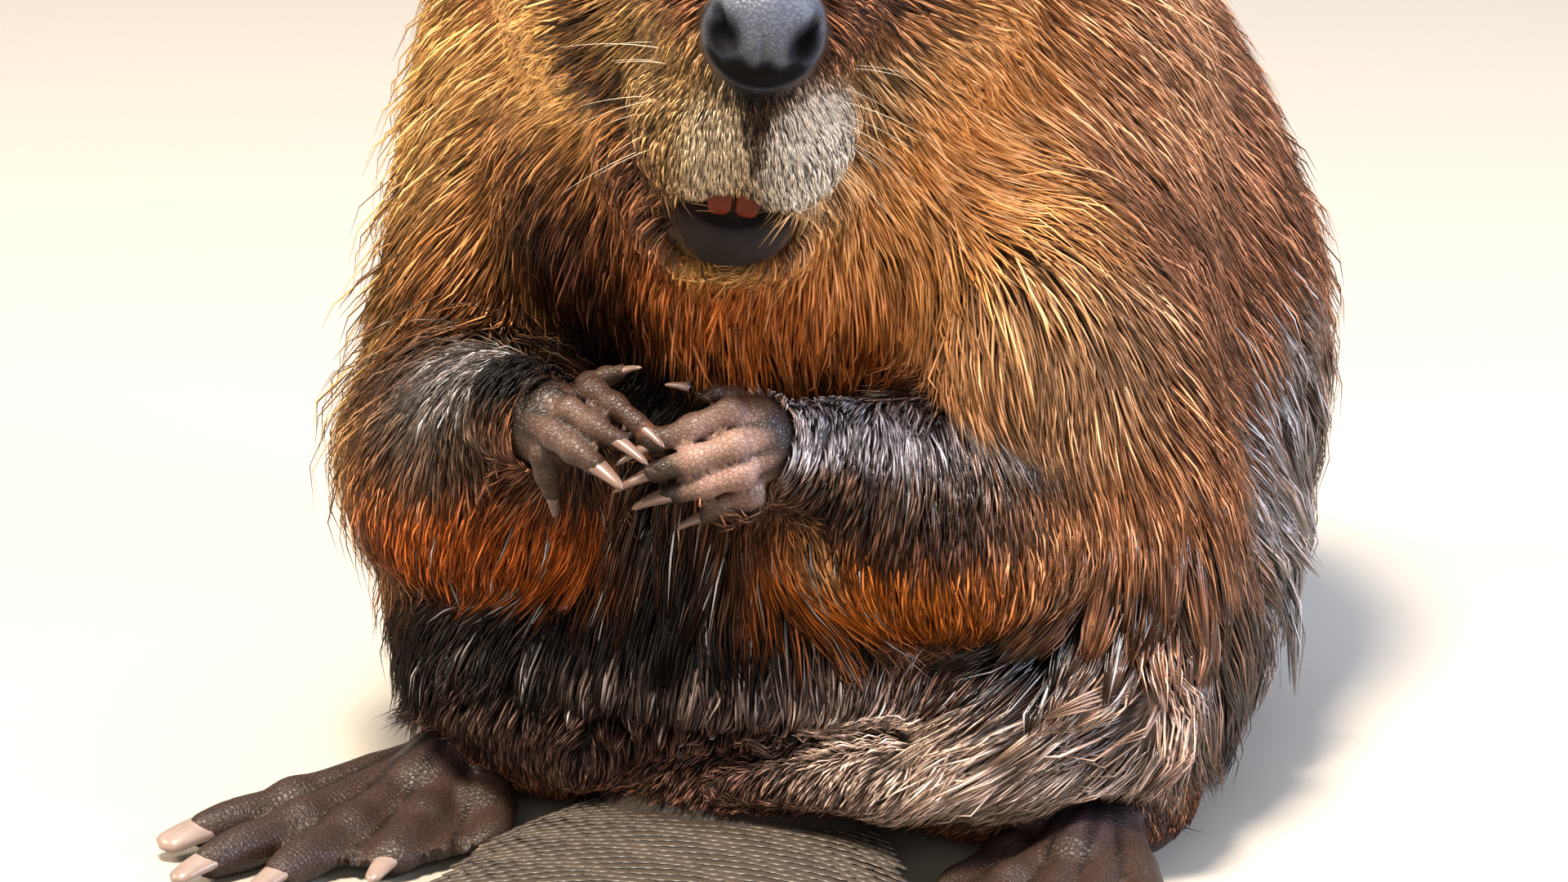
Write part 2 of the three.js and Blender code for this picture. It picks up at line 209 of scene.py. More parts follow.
torso = melt(
    TRUNK_BLEND,
    ellipsoid((12, 48, 115), (128, 130, 122), sink=13),
    ellipsoid((14, 44, 64), (114, 116, 70), sink=12),
    ellipsoid((8, -36, 74), (102, 88, 82), sink=10),
    ellipsoid((8, -66, 46), (82, 62, 38), sink=8),
    ellipsoid((8, 32, 178), (108, 116, 100), sink=13),
    ellipsoid((-2, 0, 250), (94, 98, 80), sink=12),
    ellipsoid((0, -74, 196), (80, 58, 62), sink=11),
    ellipsoid((84, -84, 152), (30, 34, 42), sink=9),
    *both(lambda s: ellipsoid((12 + s * 74, -28, 56), (58, 88, 62), (0, 0, s * 6), sink=10)),
    *both(lambda s: ellipsoid((10 + s * 62, -86, 42), (42, 42, 36), sink=8)),
    *both(lambda s: limb(SHOULDER[s], ELBOW[s], 42, 36, sink=9)),
)
shins = [
    limb((122, -92, 47), (60, -131, 35), 16, 11, sink=3.5),
    limb((60, -131, 35), (8, -134, 30), 11, 6, sink=3.5),
    limb((-80, -86, 40), (-36, -122, 29), 14, 11, sink=4.5),
]
torso = melt(9, torso, *shins)
neck = limb((0, -10, 268), (12, -88, 272), 80, 70, sink=12)
skull = melt(
    22,
    h((0, 16, 3), (54, 58, 47), sink=7),
    h((0, -12, 10), (41, 50, 33), (-12, 0, 0), sink=5),
    *both(lambda s: h((s * 36, 8, -21), (36, 48, 42), sink=9)),
    h((0, 34, -34), (66, 46, 44), sink=11),
)
muzzle = melt(
    9,
    h((0, -40, -6), (34, 40, 27), (-8, 0, 0), sink=3),
    h((0, -60, -15), (27, 20, 25), sink=2),
    h((0, -50, -40), (30, 26, 23), sink=2.5),
    *both(lambda s: h((s * 13, -58, -45), (15, 15, 18), sink=2.5)),
)
jaw = melt(
    8,
    h((0, -18, -66), (34, 42, 26), (6, 0, 0), sink=4),
    hollow(3, h((0, -48, -74), (18.5, 16, 13), sink=0.5), h((0, -57, -65), (12, 11, 7))),
)
nose = melt(
    4,
    h((0, -77, -6), (12, 8, 13), sink=0.2),
    *both(lambda s: h((s * 8.5, -74, -4), (6.5, 8, 9), sink=0.2)),
)
nostrils = [
    *both(lambda s: h((s * 11.5, -80, -9.5), (3.8, 6, 4.6), (0, s * 30, s * 30))),
    *both(lambda s: h((s * 13.5, -78, -3.5), (3.2, 5, 2.0), (0, s * -50, s * 34))),
    h((0, -84.5, -16), (0.5, 2.2, 7)),
]


def eyelids(side):
    """A ball over the eye with a slit between the lids."""
    x, y, z = mirrored(EYE_AT, side)
    lid = h((x, y, z), (EYE_RADIUS + 1.3,) * 3)
    slit = h((x + side * 5.5, y - 3.5, z + 0.4), (5.6, 5.4, 3.1), (0, 0, side * 33))
    return hollow(0.8, lid, slit, h((x, y, z), (EYE_RADIUS + 0.25,) * 3))


def ear(side):
    """A thick round shell with a dish in its front."""
    turn = (-12, side * 26, side * 24)
    shell = h(mirrored(EAR_AT, side), EAR_RADII, turn, sink=1.2)
    dish = h((side * (EAR_AT[0] - 1), EAR_AT[1] - 6.5, EAR_AT[2] + 4), (8.2, 5.2, 11), turn)
    return hollow(2, shell, dish)


sockets = both(lambda s: h((s * 45, -29, 24), (10, 13, 9), (0, 0, s * -20)))
face = melt(3, melt(22, skull, muzzle), jaw)
head = hollow(2.2, melt(2.5, face, nose), *nostrils)
head = melt(2.5, hollow(6, head, *sockets), *both(eyelids))
head = melt(5, head, *both(ear))


def foot_axis(side, angle, distance):
    """A place on the foot's plan, at an angle from its axis and a distance from its heel."""
    turn = math.radians(side * (TOE_OUT[side] + angle))
    return (HEEL[side][0] + math.sin(turn) * distance, HEEL[side][1] - math.cos(turn) * distance)


def toes(side):
    """Each toe as two tapered rods that meet at its knuckle, with a bulge at its joint."""
    made = []
    for length, angle in zip(TOE_LENGTHS, TOE_SPREAD):
        radius = 5.4 if angle == TOE_SPREAD[0] else 6.7
        tip = foot_axis(side, angle, length - NAIL_ROOM)
        knuckle = foot_axis(side, angle * 0.92, length * 0.66)
        joint = foot_axis(side, angle * 0.96, length * 0.8)
        turn = (0, 0, side * (TOE_OUT[side] + angle))
        made.append(melt(
            5,
            limb((*foot_axis(side, angle * 0.5, TOE_ROOT), 13), (*knuckle, 8.5), 7, radius + 0.4, sink=0.5),
            limb((*knuckle, 8.5), (*tip, radius - 0.5), radius + 0.2, radius - 1.0, sink=0.5),
            ellipsoid((*joint, radius), (radius * 0.9, 12, radius * 0.9), turn, sink=0.5),
        ))
    return made


def foot(side):
    """A flat webbed hind foot: its heel and sole, its toes and the webs between them."""
    webs = [
        limb(
            (*foot_axis(side, (a + b) / 2, 70), 9),
            (*foot_axis(side, (a + b) / 2, (m + n) * 0.36), 5),
            8, 3.5, sink=0.5,
        )
        for a, b, m, n in zip(TOE_SPREAD, TOE_SPREAD[1:], TOE_LENGTHS, TOE_LENGTHS[1:])
    ]
    sole = melt(
        10,
        ellipsoid((*foot_axis(side, 0, 16), 14), (19, 26, 17), sink=1),
        limb((*foot_axis(side, 0, 12), 18), (*foot_axis(side, -3, 70), 11), 17, 12, sink=1),
    )
    flat = ellipsoid((*foot_axis(side, -3, 88), 6), (36, 38, 5), (0, 0, side * TOE_OUT[side]), sink=1)
    flesh = melt(3.5, sole, melt(2.5, *toes(side)), flat, *webs)
    return nearby(flesh, (*foot_axis(side, -3, 84), 11), 90)


# Each finger is its knuckle, its tip and its radius. The last is the thumb.
PALM = {1: (25, -153, 140), -1: (-33, -157, 140)}
FINGERS = {
    1: [
        ((21, -160, 150), (1, -168, 141), 4.2),
        ((24, -165, 142), (2, -171, 133.5), 4.3),
        ((26, -165, 133.5), (5, -168, 126.5), 4.3),
        ((27, -160, 125), (13, -162, 119), 4),
        ((19, -150, 151), (6, -154, 154), 3.2),
    ],
    -1: [
        ((-20, -159, 152), (-5, -166.5, 146.5), 4),
        ((-25, -165, 147.5), (-9, -172, 142.5), 4),
        ((-28, -169, 141), (-14, -175, 135.5), 4.4),
        ((-33, -166, 134), (-31, -164, 122.5), 3.8),
        ((-25, -149, 151), (-14, -151, 156), 3.2),
    ],
}


def fingers(side):
    """Each finger as a rod from the palm to its knuckle, one to its tip and a bulge between them."""
    made = []
    for knuckle, tip, radius in FINGERS[side]:
        middle = np.array(knuckle) * 0.5 + np.array(tip) * 0.5
        made.append(melt(
            2,
            limb(PALM[side], knuckle, radius + 0.6, radius, sink=0.2),
            limb(knuckle, tip, radius - 0.2, radius - 1.0, sink=0.2),
            ellipsoid(middle, (radius,) * 3, sink=0.2),
        ))
    return made


def forepaw(side):
    palm = PALM[side]
    back = melt(6, ellipsoid(palm, (12.5, 10, 13.5), sink=1), limb(WRIST[side], palm, 13, 11, sink=1))
    return nearby(melt(1.3, back, *fingers(side)), palm, 50)


def forearm(side):
    at, radii = SAG[side]
    return melt(30, limb(ELBOW[side], WRIST[side], 34, 18, sink=6), ellipsoid(at, radii, sink=7))


tail_root = melt(
    14,
    ellipsoid((6, -66, 20), (38, 62, 24), sink=4),
    ellipsoid((8, -112, 16), (44, 26, 16), sink=3),
)
tail_turn = turn_matrix(0, 0, TAIL_TURN).astype(np.float32)


def into_tail(p):
    """Places in the tail's own frame, whose y runs along the blade."""
    return (p - np.array((*TAIL_CENTRE, 0), np.float32)) @ tail_turn


def tail_thickness(along):
    """Half the blade's thickness. It runs from -1 at the tip to 1 at the root."""
    t = (np.clip(along, -1, 1) + 1) / 2
    return TAIL_TIP_THICK + (TAIL_ROOT_THICK - TAIL_TIP_THICK) * t


def tail_blade(p):
    """The distance to the tail's flat blade."""
    q = into_tail(p)
    along = q[:, 1] / TAIL_LONG
    thick = tail_thickness(along)
    r = np.abs(q[:, 0] / TAIL_WIDE) ** TAIL_CURVE + np.abs(along) ** TAIL_CURVE
    r = r + np.abs((q[:, 2] - thick * 0.8) / thick) ** TAIL_CURVE
    return (r ** (1 / TAIL_CURVE) - 1) * thick + 0.7


trunk_and_head = melt(TRUNK_BLEND, torso, neck, nearby(head, on_head((0, -6, 0)), 98))
arms = [nearby(forearm(s), (s * 70, -100, 130), 90) for s in (1, -1)]
legs_and_tail = melt(10, nearby(tail_root, (6, -80, 18), 80), foot(1), foot(-1))
paws = [forepaw(s) for s in (1, -1)]


def body_field(p):
    """The distance to the body with its head, legs and tail root, but without its arms and the blade."""
    return join(trunk_and_head(p), legs_and_tail(p), LEG_BLEND)


def skin_field(p):
    """The distance to the skin, in laid-out millimetres. It is negative inside the flesh."""
    p = np.asarray(p, np.float32)
    d = body_field(p)
    for arm, paw in zip(arms, paws):
        d = join(d, join(arm(p), paw(p), WRIST_BLEND), ARM_BLEND)
    d = join(d, tail_blade(p), TAIL_BLEND)
    return np.maximum(d, FLOOR_GAP - p[:, 2])


def slope_of(field, p, step):
    """A field's outward direction at each point."""
    slope = np.empty_like(p)
    for axis in range(3):
        shift = np.zeros(3, np.float32)
        shift[axis] = step
        slope[:, axis] = field(p + shift) - field(p - shift)
    return unit(slope)


def skin_slope(p):
    """The skin's outward direction at each point."""
    return slope_of(skin_field, p, 0.35)


def onto_skin(p, rounds):
    """Points brought onto the skin."""
    for _ in range(rounds):
        p = p - skin_field(p)[:, None] * skin_slope(p)
    return p


# How near the surface, in coarse cells, the field is worked out in full.
NET_MARGIN = 1.3


def net_of(field, low, high, cell, coarse=4):
    """A closed net of quads round the inside of a field. The field is worked out only near its surface."""
    low, high = np.array(low, float), np.array(high, float)
    blocks = np.ceil((high - low) / (cell * coarse)).astype(int)
    wide = cell * coarse
    grids = np.meshgrid(*[np.arange(n + 1) for n in blocks], indexing="ij")
    points = np.stack([g.ravel() for g in grids], 1) * wide + low
    rough = field(points.astype(np.float32)).reshape(blocks + 1)
    size = blocks * coarse + 1
    index = [np.minimum((np.arange(n) + coarse // 2) // coarse, b) for n, b in zip(size, blocks)]
    values = rough[np.ix_(*index)].astype(np.float32)
    near = np.abs(values) < wide * NET_MARGIN
    where = np.argwhere(near)
    values[near] = field((where * cell + low).astype(np.float32))
    inside = values < 0

    corners = [(i, j, k) for i in (0, 1) for j in (0, 1) for k in (0, 1)]
    n = size - 1

    def corner(array, c):
        return array[c[0]:c[0] + n[0], c[1]:c[1] + n[1], c[2]:c[2] + n[2]]

    count = sum(corner(inside, c).astype(np.int8) for c in corners)
    active = (count > 0) & (count < 8)
    cells = np.argwhere(active)
    ids = np.full(n, -1, np.int64)
    ids[tuple(cells.T)] = np.arange(len(cells))
    total = np.zeros((len(cells), 3))
    hits = np.zeros(len(cells))
    for a in corners:
        for axis in range(3):
            if a[axis]:
                continue
            b = tuple(v + (i == axis) for i, v in enumerate(a))
            va = values[tuple((cells + a).T)]
            vb = values[tuple((cells + b).T)]
            cross = (va < 0) != (vb < 0)
            t = np.where(cross, va / np.where(cross, va - vb, 1), 0)
            spot = np.tile(np.array(a, float), (len(cells), 1))
            spot[:, axis] += t
            total += spot * cross[:, None]
            hits += cross
    verts = (cells + total / hits[:, None]) * cell + low
    faces = []
    for axis in range(3):
        u, v = (axis + 1) % 3, (axis + 2) % 3
        first = [slice(1, -1)] * 3
        second = [slice(1, -1)] * 3
        first[axis] = slice(0, -1)
        second[axis] = slice(1, None)
        sa, sb = inside[tuple(first)], inside[tuple(second)]
        for mask, flip in ((sa & ~sb, False), (~sa & sb, True)):
            at = np.argwhere(mask)
            at[:, u] += 1
            at[:, v] += 1
            quad = []
            for du, dv in ((0, 0), (-1, 0), (-1, -1), (0, -1)):
                place = at.copy()
                place[:, u] += du
                place[:, v] += dv
                quad.append(ids[tuple(place.T)])
            quad = np.stack(quad, 1)
            faces.append(quad[:, ::-1] if flip else quad)
    return verts.astype(np.float32), np.concatenate(faces)


# An edge is split once it is this many times the wanted length.
EDGE_SLACK = 1.25


def refine(verts, tris, wanted, rounds):
    """Splits each edge of the triangles that is well over the wanted length, at its middle."""
    for _ in range(rounds):
        edges = np.sort(tris[:, [0, 1, 1, 2, 2, 0]].reshape(-1, 2), 1)
        key, back = np.unique(edges, axis=0, return_inverse=True)
        back = back.reshape(-1, 3)
        middle = (verts[key[:, 0]] + verts[key[:, 1]]) / 2
        long = length_of(verts[key[:, 0]] - verts[key[:, 1]]) > wanted(middle) * EDGE_SLACK
        if not long.any():
            break
        new_id = np.full(len(key), -1)
        new_id[long] = len(verts) + np.arange(long.sum())
        verts = np.concatenate([verts, middle[long]])
        m = new_id[back]
        split = m >= 0
        out = [tris[~split.any(1)]]
        for shift in range(3):
            t, e, s = (np.roll(x, -shift, 1) for x in (tris, m, split))
            one = s[:, 0] & ~s[:, 1] & ~s[:, 2]
            a, b, c, ab = t[one, 0], t[one, 1], t[one, 2], e[one, 0]
            out += [np.stack([a, ab, c], 1), np.stack([ab, b, c], 1)]
            two = s[:, 0] & s[:, 1] & ~s[:, 2]
            a, b, c, ab, bc = t[two, 0], t[two, 1], t[two, 2], e[two, 0], e[two, 1]
            out += [np.stack([a, ab, c], 1), np.stack([ab, bc, c], 1), np.stack([ab, b, bc], 1)]
        every = split.all(1)
        a, b, c = tris[every].T
        ab, bc, ca = m[every].T
        out += [np.stack(x, 1) for x in ((a, ab, ca), (ab, b, bc), (ca, bc, c), (ab, bc, ca))]
        tris = np.concatenate(out)
    return verts, tris


def new_mesh(name, verts, faces):
    """A mesh object from points in metres and rows of triangles or quads."""
    faces = np.asarray(faces, np.int32)
    sides = faces.shape[1]
    mesh = bpy.data.meshes.new(name)
    mesh.vertices.add(len(verts))
    mesh.vertices.foreach_set("co", np.asarray(verts, np.float32).ravel())
    mesh.loops.add(faces.size)
    mesh.loops.foreach_set("vertex_index", faces.ravel())
    mesh.polygons.add(len(faces))
    mesh.polygons.foreach_set("loop_start", np.arange(0, faces.size, sides, dtype=np.int32))
    mesh.polygons.foreach_set("use_smooth", np.ones(len(faces), bool))
    mesh.update(calc_edges=True)
    obj = bpy.data.objects.new(name, mesh)
    bpy.context.scene.collection.objects.link(obj)
    return obj


# The skin.
def skin_grain(p):
    """The wanted edge length of the skin's triangles, finer on the face, ears, paws and toes."""
    q = to_head(p)
    grain = np.full(len(p), 6.0)
    face, muzzle_tip, nose_pad = (0, -40, -10), (0, -66, -26), (0, -80, -6)
    grain[(q[:, 1] < 0) & (length_of(q - face) < 62)] = 3.0
    grain[(q[:, 1] < -44) & (length_of(q - muzzle_tip) < 46)] = 1.5
    grain[length_of(q - nose_pad) < 21] = 0.85
    for s in (1, -1):
        ball_of_foot = (*foot_axis(s, 0, 110), 8)
        for places, middle, reach, edge in (
            (q, mirrored(EYE_AT, s), 13, 0.9),
            (q, mirrored(EAR_AT, s), 22, 1.7),
            (p, PALM[s], 36, 1.6),
            (p, ball_of_foot, 62, 2.4),
        ):
            grain[length_of(places - np.array(middle)) < reach] = edge
    return grain


# Two corners of a box round the whole skin.
SKIN_LOW, SKIN_HIGH = (-166, -352, -4), (168, 190, 364)


def make_skin():
    verts, quads = net_of(skin_field, SKIN_LOW, SKIN_HIGH, 4.2)
    tris = np.concatenate([quads[:, [0, 1, 2]], quads[:, [0, 2, 3]]])
    verts = onto_skin(verts, 1)
    verts, tris = refine(verts, tris, skin_grain, 3)
    return onto_skin(verts.astype(np.float32), 2), tris


skin_verts, skin_tris = make_skin()


# Markings, and light and shade painted into the coat's colour.
def ease(x, low, high):
    """0 below low, 1 above high and a smooth step between."""
    t = np.clip((x - low) / (high - low), 0, 1)
    return t * t * (3 - 2 * t)


def spread(p, at, radii):
    """1 near a place and 0 well outside its radii."""
    q = (p - np.array(at, np.float32)) / np.array(radii, np.float32)
    return ease(1.4 - length_of(q), 0, 0.8)


def fading(p, at, reach):
    """1 at a place and ever less away from it."""
    return np.exp(-((p - np.array(at, np.float32)) ** 2).sum(1) / reach**2)


def along_surface(way, normal):
    """Directions less what of them leaves the surface."""
    return way - (way * normal).sum(1)[:, None] * normal


PLAIN_COAT = 0x69402A
# Each marking of the coat is its colour, its middle, its radii and how strongly it covers what is under it.
# Some are painted light or shade, as said beside them. Those of the head are in the head's frame, and those
# of the front lie over all others.
BODY_MARKS = (
    (0x845439, (118, 10, 180), (60, 110, 130), 0.9),
    (0xB07C58, (100, -30, 244), (46, 60, 40), 0.85),
    (0x885428, (-96, -50, 175), (44, 90, 90), 0.9),
    (0xDCAA66, (-90, -62, 220), (36, 50, 30), 0.9),
    (0x5A3416, (-92, -96, 152), (26, 40, 34), 0.8),
    # partly golden fur, partly painted rim light along the right side's edge
    (0x94703E, (-120, -56, 142), (24, 56, 76), 0.85),
    (0x8E5A36, (108, -96, 122), (36, 50, 50), 0.9),
    (0x4C3630, (12, -118, 56), (128, 60, 34), 0.95),
    (0x8E5A3C, (122, -70, 88), (30, 50, 40), 0.8),
    (0x54382C, (138, 12, 98), (24, 56, 80), 0.85),
    # painted reflection: a pale sheen of sky on the wet hair of the left flank
    (0xE4D4CA, (134, 8, 84), (16, 40, 42), 0.7),
    (0x38241C, (132, -36, 62), (26, 60, 32), 0.9),
)
HEAD_MARKS = (
    (0xA4662E, (0, 22, -10), (84, 76, 66), 0.95),
    (0xE8A05A, (52, -18, -58), (44, 44, 54), 0.95),
    (0xECB46A, (-58, 6, -26), (40, 62, 42), 1.0),
    (0x85562C, (-56, 40, -96), (26, 44, 26), 0.8),
    (0x4A2410, (-33, -42, -40), (14, 20, 38), 0.9),
    (0xFF9448, (8, -20, -116), (66, 56, 32), 1.0),
    # painted shadow that the right cheek casts on the fur below it
    (0x2C1008, (-38, 4, -110), (30, 40, 30), 0.95),
    (0xB89058, (-24, -58, -18), (12, 20, 18), 0.85),
    (0xAA8658, (-9, -62, -36), (17, 22, 27), 1.0),
    (0xC09A6C, (24, -54, -40), (22, 24, 28), 0.75),
    (0xF6EADA, (15, -66, -40), (13, 16, 20), 0.9),
    (0xD8C4A4, (-7, -68, -42), (10, 14, 20), 0.85),
    (0x8A6A42, (0, -56, 12), (18, 22, 12), 0.7),
    (0xD0984E, (0, -50, -94), (30, 24, 14), 0.95),
    (0xE8D2AE, (16, -48, -94), (14, 20, 9), 0.8),
    (0x1C1310, (0, -80, -22), (10, 12, 6), 1.0),
    (0x2A1A12, (1.0, -78, -30), (4.4, 12, 9), 0.95),
    (0x2A1A12, (2.5, -75, -40), (1.8, 12, 11), 0.85),
)
FRONT_MARKS = (
    (0x120B0A, (-74, -112, 62), (40, 60, 32), 0.95),
    (0x120C0B, (-15, -118, 88), (46, 44, 38), 1.0),
    (0x74625C, (24, -128, 67), (58, 34, 10), 0.9),
    (0x543A32, (-10, -132, 38), (84, 34, 11), 0.95),
    (0x4A3630, (-62, -116, 38), (40, 44, 12), 0.85),
    # partly the pale short fur of the left shin, partly painted top light on it
    (0xBCA294, (94, -118, 42), (60, 46, 18), 1.0),
    # partly the dark wet hair of the thigh, partly painted shade in the crease above the pale leg band
    (0x20120C, (108, -108, 80), (22, 26, 13), 1.0),
    (0xB08C7A, (126, -92, 68), (16, 30, 16), 0.8),
    # painted shade in the crease above the pale leg band
    (0x2C1A14, (96, -116, 68), (34, 26, 8), 0.8),
    # partly pale hair continuing the band, partly painted highlight where wet clumps glint
    (0xAC9486, (98, -116, 55), (34, 26, 9), 0.85),
    # painted shadow behind the right forepaw, between chest and forearm, here and in the next line
    (0x0A0605, (-24, -104, 146), (50, 36, 28), 1.0),
    (0x0A0605, (-50, -104, 160), (30, 40, 14), 1.0),
    # painted shadow under the ruff, above the left forearm and wrist
    (0x140D0B, (34, -112, 156), (32, 30, 14), 0.95),
    (0x46352B, (-74, -124, 142), (44, 52, 20), 0.95),
    # painted reflection: a faint silvery sheen of sky along the top of the right forearm
    (0x8E8A94, (-82, -124, 149), (28, 36, 9), 0.28),
    # painted shadow in the gap between the ruff and the right wrist
    (0x0A0605, (-43, -147, 156), (19, 18, 14), 1.0),
    (0x4A3428, (62, -132, 138), (48, 50, 22), 0.9),
    # painted reflection: a pale band of sky sheen along the top of the left forearm
    (0xB4AEBA, (66, -136, 144), (48, 36, 8), 0.75),
    (0x984A12, (-62, -132, 102), (38, 44, 17), 1.0),
    (0xA25616, (52, -136, 100), (42, 46, 18), 1.0),
    (0x33201A, (62, -136, 121), (44, 40, 8), 0.85),
    (0xA8805C, (84, -90, 164), (26, 40, 24), 0.6),
    (0xB08050, (32, -148, 108), (14, 20, 8), 0.8),
    # painted shadow over the top of the right wrist
    (0x060303, (-38, -156, 164), (18, 20, 8), 1.0),
)


def coat_colours_and_painted_light(p):
    """The coat's colour at points of the skin, with its painted light and shade, as linear red, green and
    blue.
    """
    q = to_head(p)
    colour = np.tile(rgb(PLAIN_COAT), (len(p), 1))
    for places, marks in ((p, BODY_MARKS), (q, HEAD_MARKS), (p, FRONT_MARKS)):
        for code, at, radii, strength in marks:
            mask = (spread(places, at, radii) * strength)[:, None]
            colour = colour * (1 - mask) + rgb(code) * mask
    return colour


# Places where water has stuck the hair together: middle, radii, how glossy it is and how far it draws the
# locks together. The belly's black hair is only damp.
WET_PLACES = (
    ((136, 20, 96), (26, 84, 90), 1.0, 0.95),
    ((120, -84, 80), (38, 52, 40), 1.0, 0.85),
    ((-12, -118, 78), (50, 50, 50), 0.4, 0.6),
    ((-84, -120, 150), (34, 52, 16), 1.0, 0.3),
    ((66, -130, 142), (50, 54, 17), 1.0, 0.3),
)

# Places where the wet hair catches the sky: middle, radii and the share of bright locks.
GLINTS = (
    ((134, 6, 106), (24, 46, 66), 0.36),
    ((-80, -126, 150), (30, 36, 11), 0.24),
    ((66, -136, 144), (46, 34, 9), 0.45),
    ((118, -100, 70), (24, 30, 18), 0.13),
    ((-8, -118, 84), (84, 44, 40), 0.05),
)


def wetness(p):
    """How wet the coat is at points of the skin, and how far the water draws the locks together."""
    wet, drawn = np.zeros((2, len(p)), np.float32)
    for at, radii, gloss, amount in WET_PLACES:
        mask = spread(p, at, radii)
        wet, drawn = np.maximum(wet, mask * gloss), np.maximum(drawn, mask * amount)
    return wet, drawn


# The hair runs back from the nose and down the body. These places comb it another way: middle, reach,
# direction and strength.
COMBED = (
    ((84, -118, 136), 34, (0.2, -0.6, -0.9), 4.0),
    ((46, -146, 146), 28, (0.08, -0.9, -0.7), 6.0),
    ((-74, -128, 146), 34, (-0.5, -0.6, -0.7), 4.0),
    ((-44, -148, 152), 22, (-0.35, -0.8, -0.6), 5.0),
    ((-58, -130, 100), 34, (-0.1, -0.2, -1.0), 2.0),
    ((126, -92, 82), 26, (-0.35, -0.4, -0.85), 5.0),
    ((112, -108, 66), 22, (-0.8, -0.3, -0.5), 6.0),
    ((104, -118, 42), 24, (-0.75, -0.45, -0.25), 6.0),
    ((52, -138, 34), 30, (-0.7, -0.55, -0.5), 6.0),
    ((138, 20, 100), 60, (0.3, 0.45, -0.85), 2.5),
    ((134, -50, 60), 24, (0.35, 0.25, -0.9), 4.0),
    ((8, -130, 36), 60, (0.0, -0.7, -0.75), 1.5),
    ((-15, -118, 88), 40, (0.0, -0.25, -1.0), 1.5),
    ((30, -124, 74), 30, (0.35, -0.35, -0.85), 2.5),
)


def lie(p, normal):
    """The direction of the hair at points of the skin, along the surface."""
    q = to_head(p)
    nose_tip, falling = np.array((0, -74, -4), np.float32), np.array((0, 0.1, -0.35), np.float32)
    from_nose = unit(q - nose_tip) @ HEAD[0].T.astype(np.float32) + falling
    skull_or_jaw = np.maximum(
        spread(q, (0, -5, -20), (72, 74, 68)), spread(q, (0, -34, -86), (50, 34, 44)),
    )[:, None]
    back = 0.15 + 0.5 * ease(p[:, 2], 90, 200)
    side = 0.16 * np.clip(p[:, 0] / 90, -1, 1)
    down = np.stack([side, back, np.full(len(p), -1.0)], 1)
    way = unit(down) * (1 - skull_or_jaw) + from_nose * skull_or_jaw
    for at, reach, direction, strength in COMBED:
        way = way + (strength * fading(p, at, reach))[:, None] * unit(np.array([direction]))
    return unit(along_surface(way, normal)).astype(np.float32)


# The coat. Each region of it is its hair's length, width and depth in millimetres, and its locks per square
# centimetre.
LENGTH, WIDTH, DEPTH, DENSITY = range(4)
COATS = {
    "body": (42, 0.95, 12.0, 30),
    "head": (29, 0.8, 7.5, 50),
    "arm": (25, 0.8, 6.5, 48),
    "leg": (10, 0.6, 4.0, 80),
    "face": (6, 0.45, 1.8, 230),
    "ankle": (6, 0.8, 1.0, 60),
}


def from_lips(q):
    """How far places in the head's frame are from the bare lower lip, which is 1 at its edge."""
    half_width = np.clip(18 + 0.62 * (q[:, 2] + 70), 8, 21)
    return length_of(np.stack([(q[:, 0] - 1.5) / half_width, (q[:, 1] + 57) / 17, (q[:, 2] + 76) / 15], 1))


# How far from the middle of a palm its own skin goes.
PALM_REACH = 30


def behind_palm(p, side):
    """How far places are behind the middle of a palm, towards the wrist."""
    palm = np.array(PALM[side])
    way = unit(np.array([WRIST[side]]) - palm)[0]
    return np.where(length_of(p - palm) < PALM_REACH, (p - palm) @ way - 1, -PALM_REACH)


def feet_field(p):
    return np.minimum(foot(1)(p), foot(-1)(p))


def coat_weights(p):
    """How much each region's coat counts at points of the skin: 1 in all, or less where it is bare."""
    q = to_head(p)
    face = np.maximum(spread(q, (0, -66, -26), (31, 24, 38)), spread(q, (0, -50, 8), (27, 34, 22)))
    head = spread(q, (0, -6, -22), (66, 66, 66)) * (1 - face)
    left = 1 - face - head
    arm = np.maximum(
        spread(p, (-66, -122, 118), (46, 50, 46)), spread(p, (66, -120, 116), (54, 50, 46)),
    ) * left
    left = left - arm
    leg = ease(-p[:, 2], -48, -34) * ease(-p[:, 1], 30, 70) * left
    left = left - leg
    hands = np.minimum(*[np.maximum(paw(p), behind_palm(p, s)) for s, paw in zip((1, -1), paws)])
    feet = feet_field(p)
    off_tail = ease(tail_blade(p), 2, 5)
    hairy = ease(hands, 0.5, 3) * ease(feet, 1.0, 4) * off_tail
    ankle = ease(-feet, -3, 0) * ease(p[:, 1], -100, -76) * ease(p[:, 2], 8, 15) * off_tail
    lips = ease(from_lips(q), 1.0, 1.12)
    pad = ease(length_of((q - (0, -78, -7)) / (16.5, 12, 16.5)), 1.0, 1.15)
    on_ear = 1 - 0.6 * np.maximum(*[spread(q, mirrored(EAR_AT, s), (16, 10, 19)) for s in (1, -1)])
    eyes = np.minimum(*[ease(length_of(q - np.array(mirrored(EYE_AT, s))), 8.5, 11) for s in (1, -1)])
    hairy = hairy * lips * pad * on_ear * eyes
    weights = {"body": left, "head": head, "arm": arm, "leg": leg, "face": face}
    weights = {name: w * hairy for name, w in weights.items()}
    weights["ankle"] = ankle * (1 - hairy)
    return weights


def blend_of(weights, column):
    """One column of the coat's table at each point, by the regions' weights."""
    total = sum(weights.values()) + 1e-6
    return sum(w * COATS[name][column] for name, w in weights.items()) / total


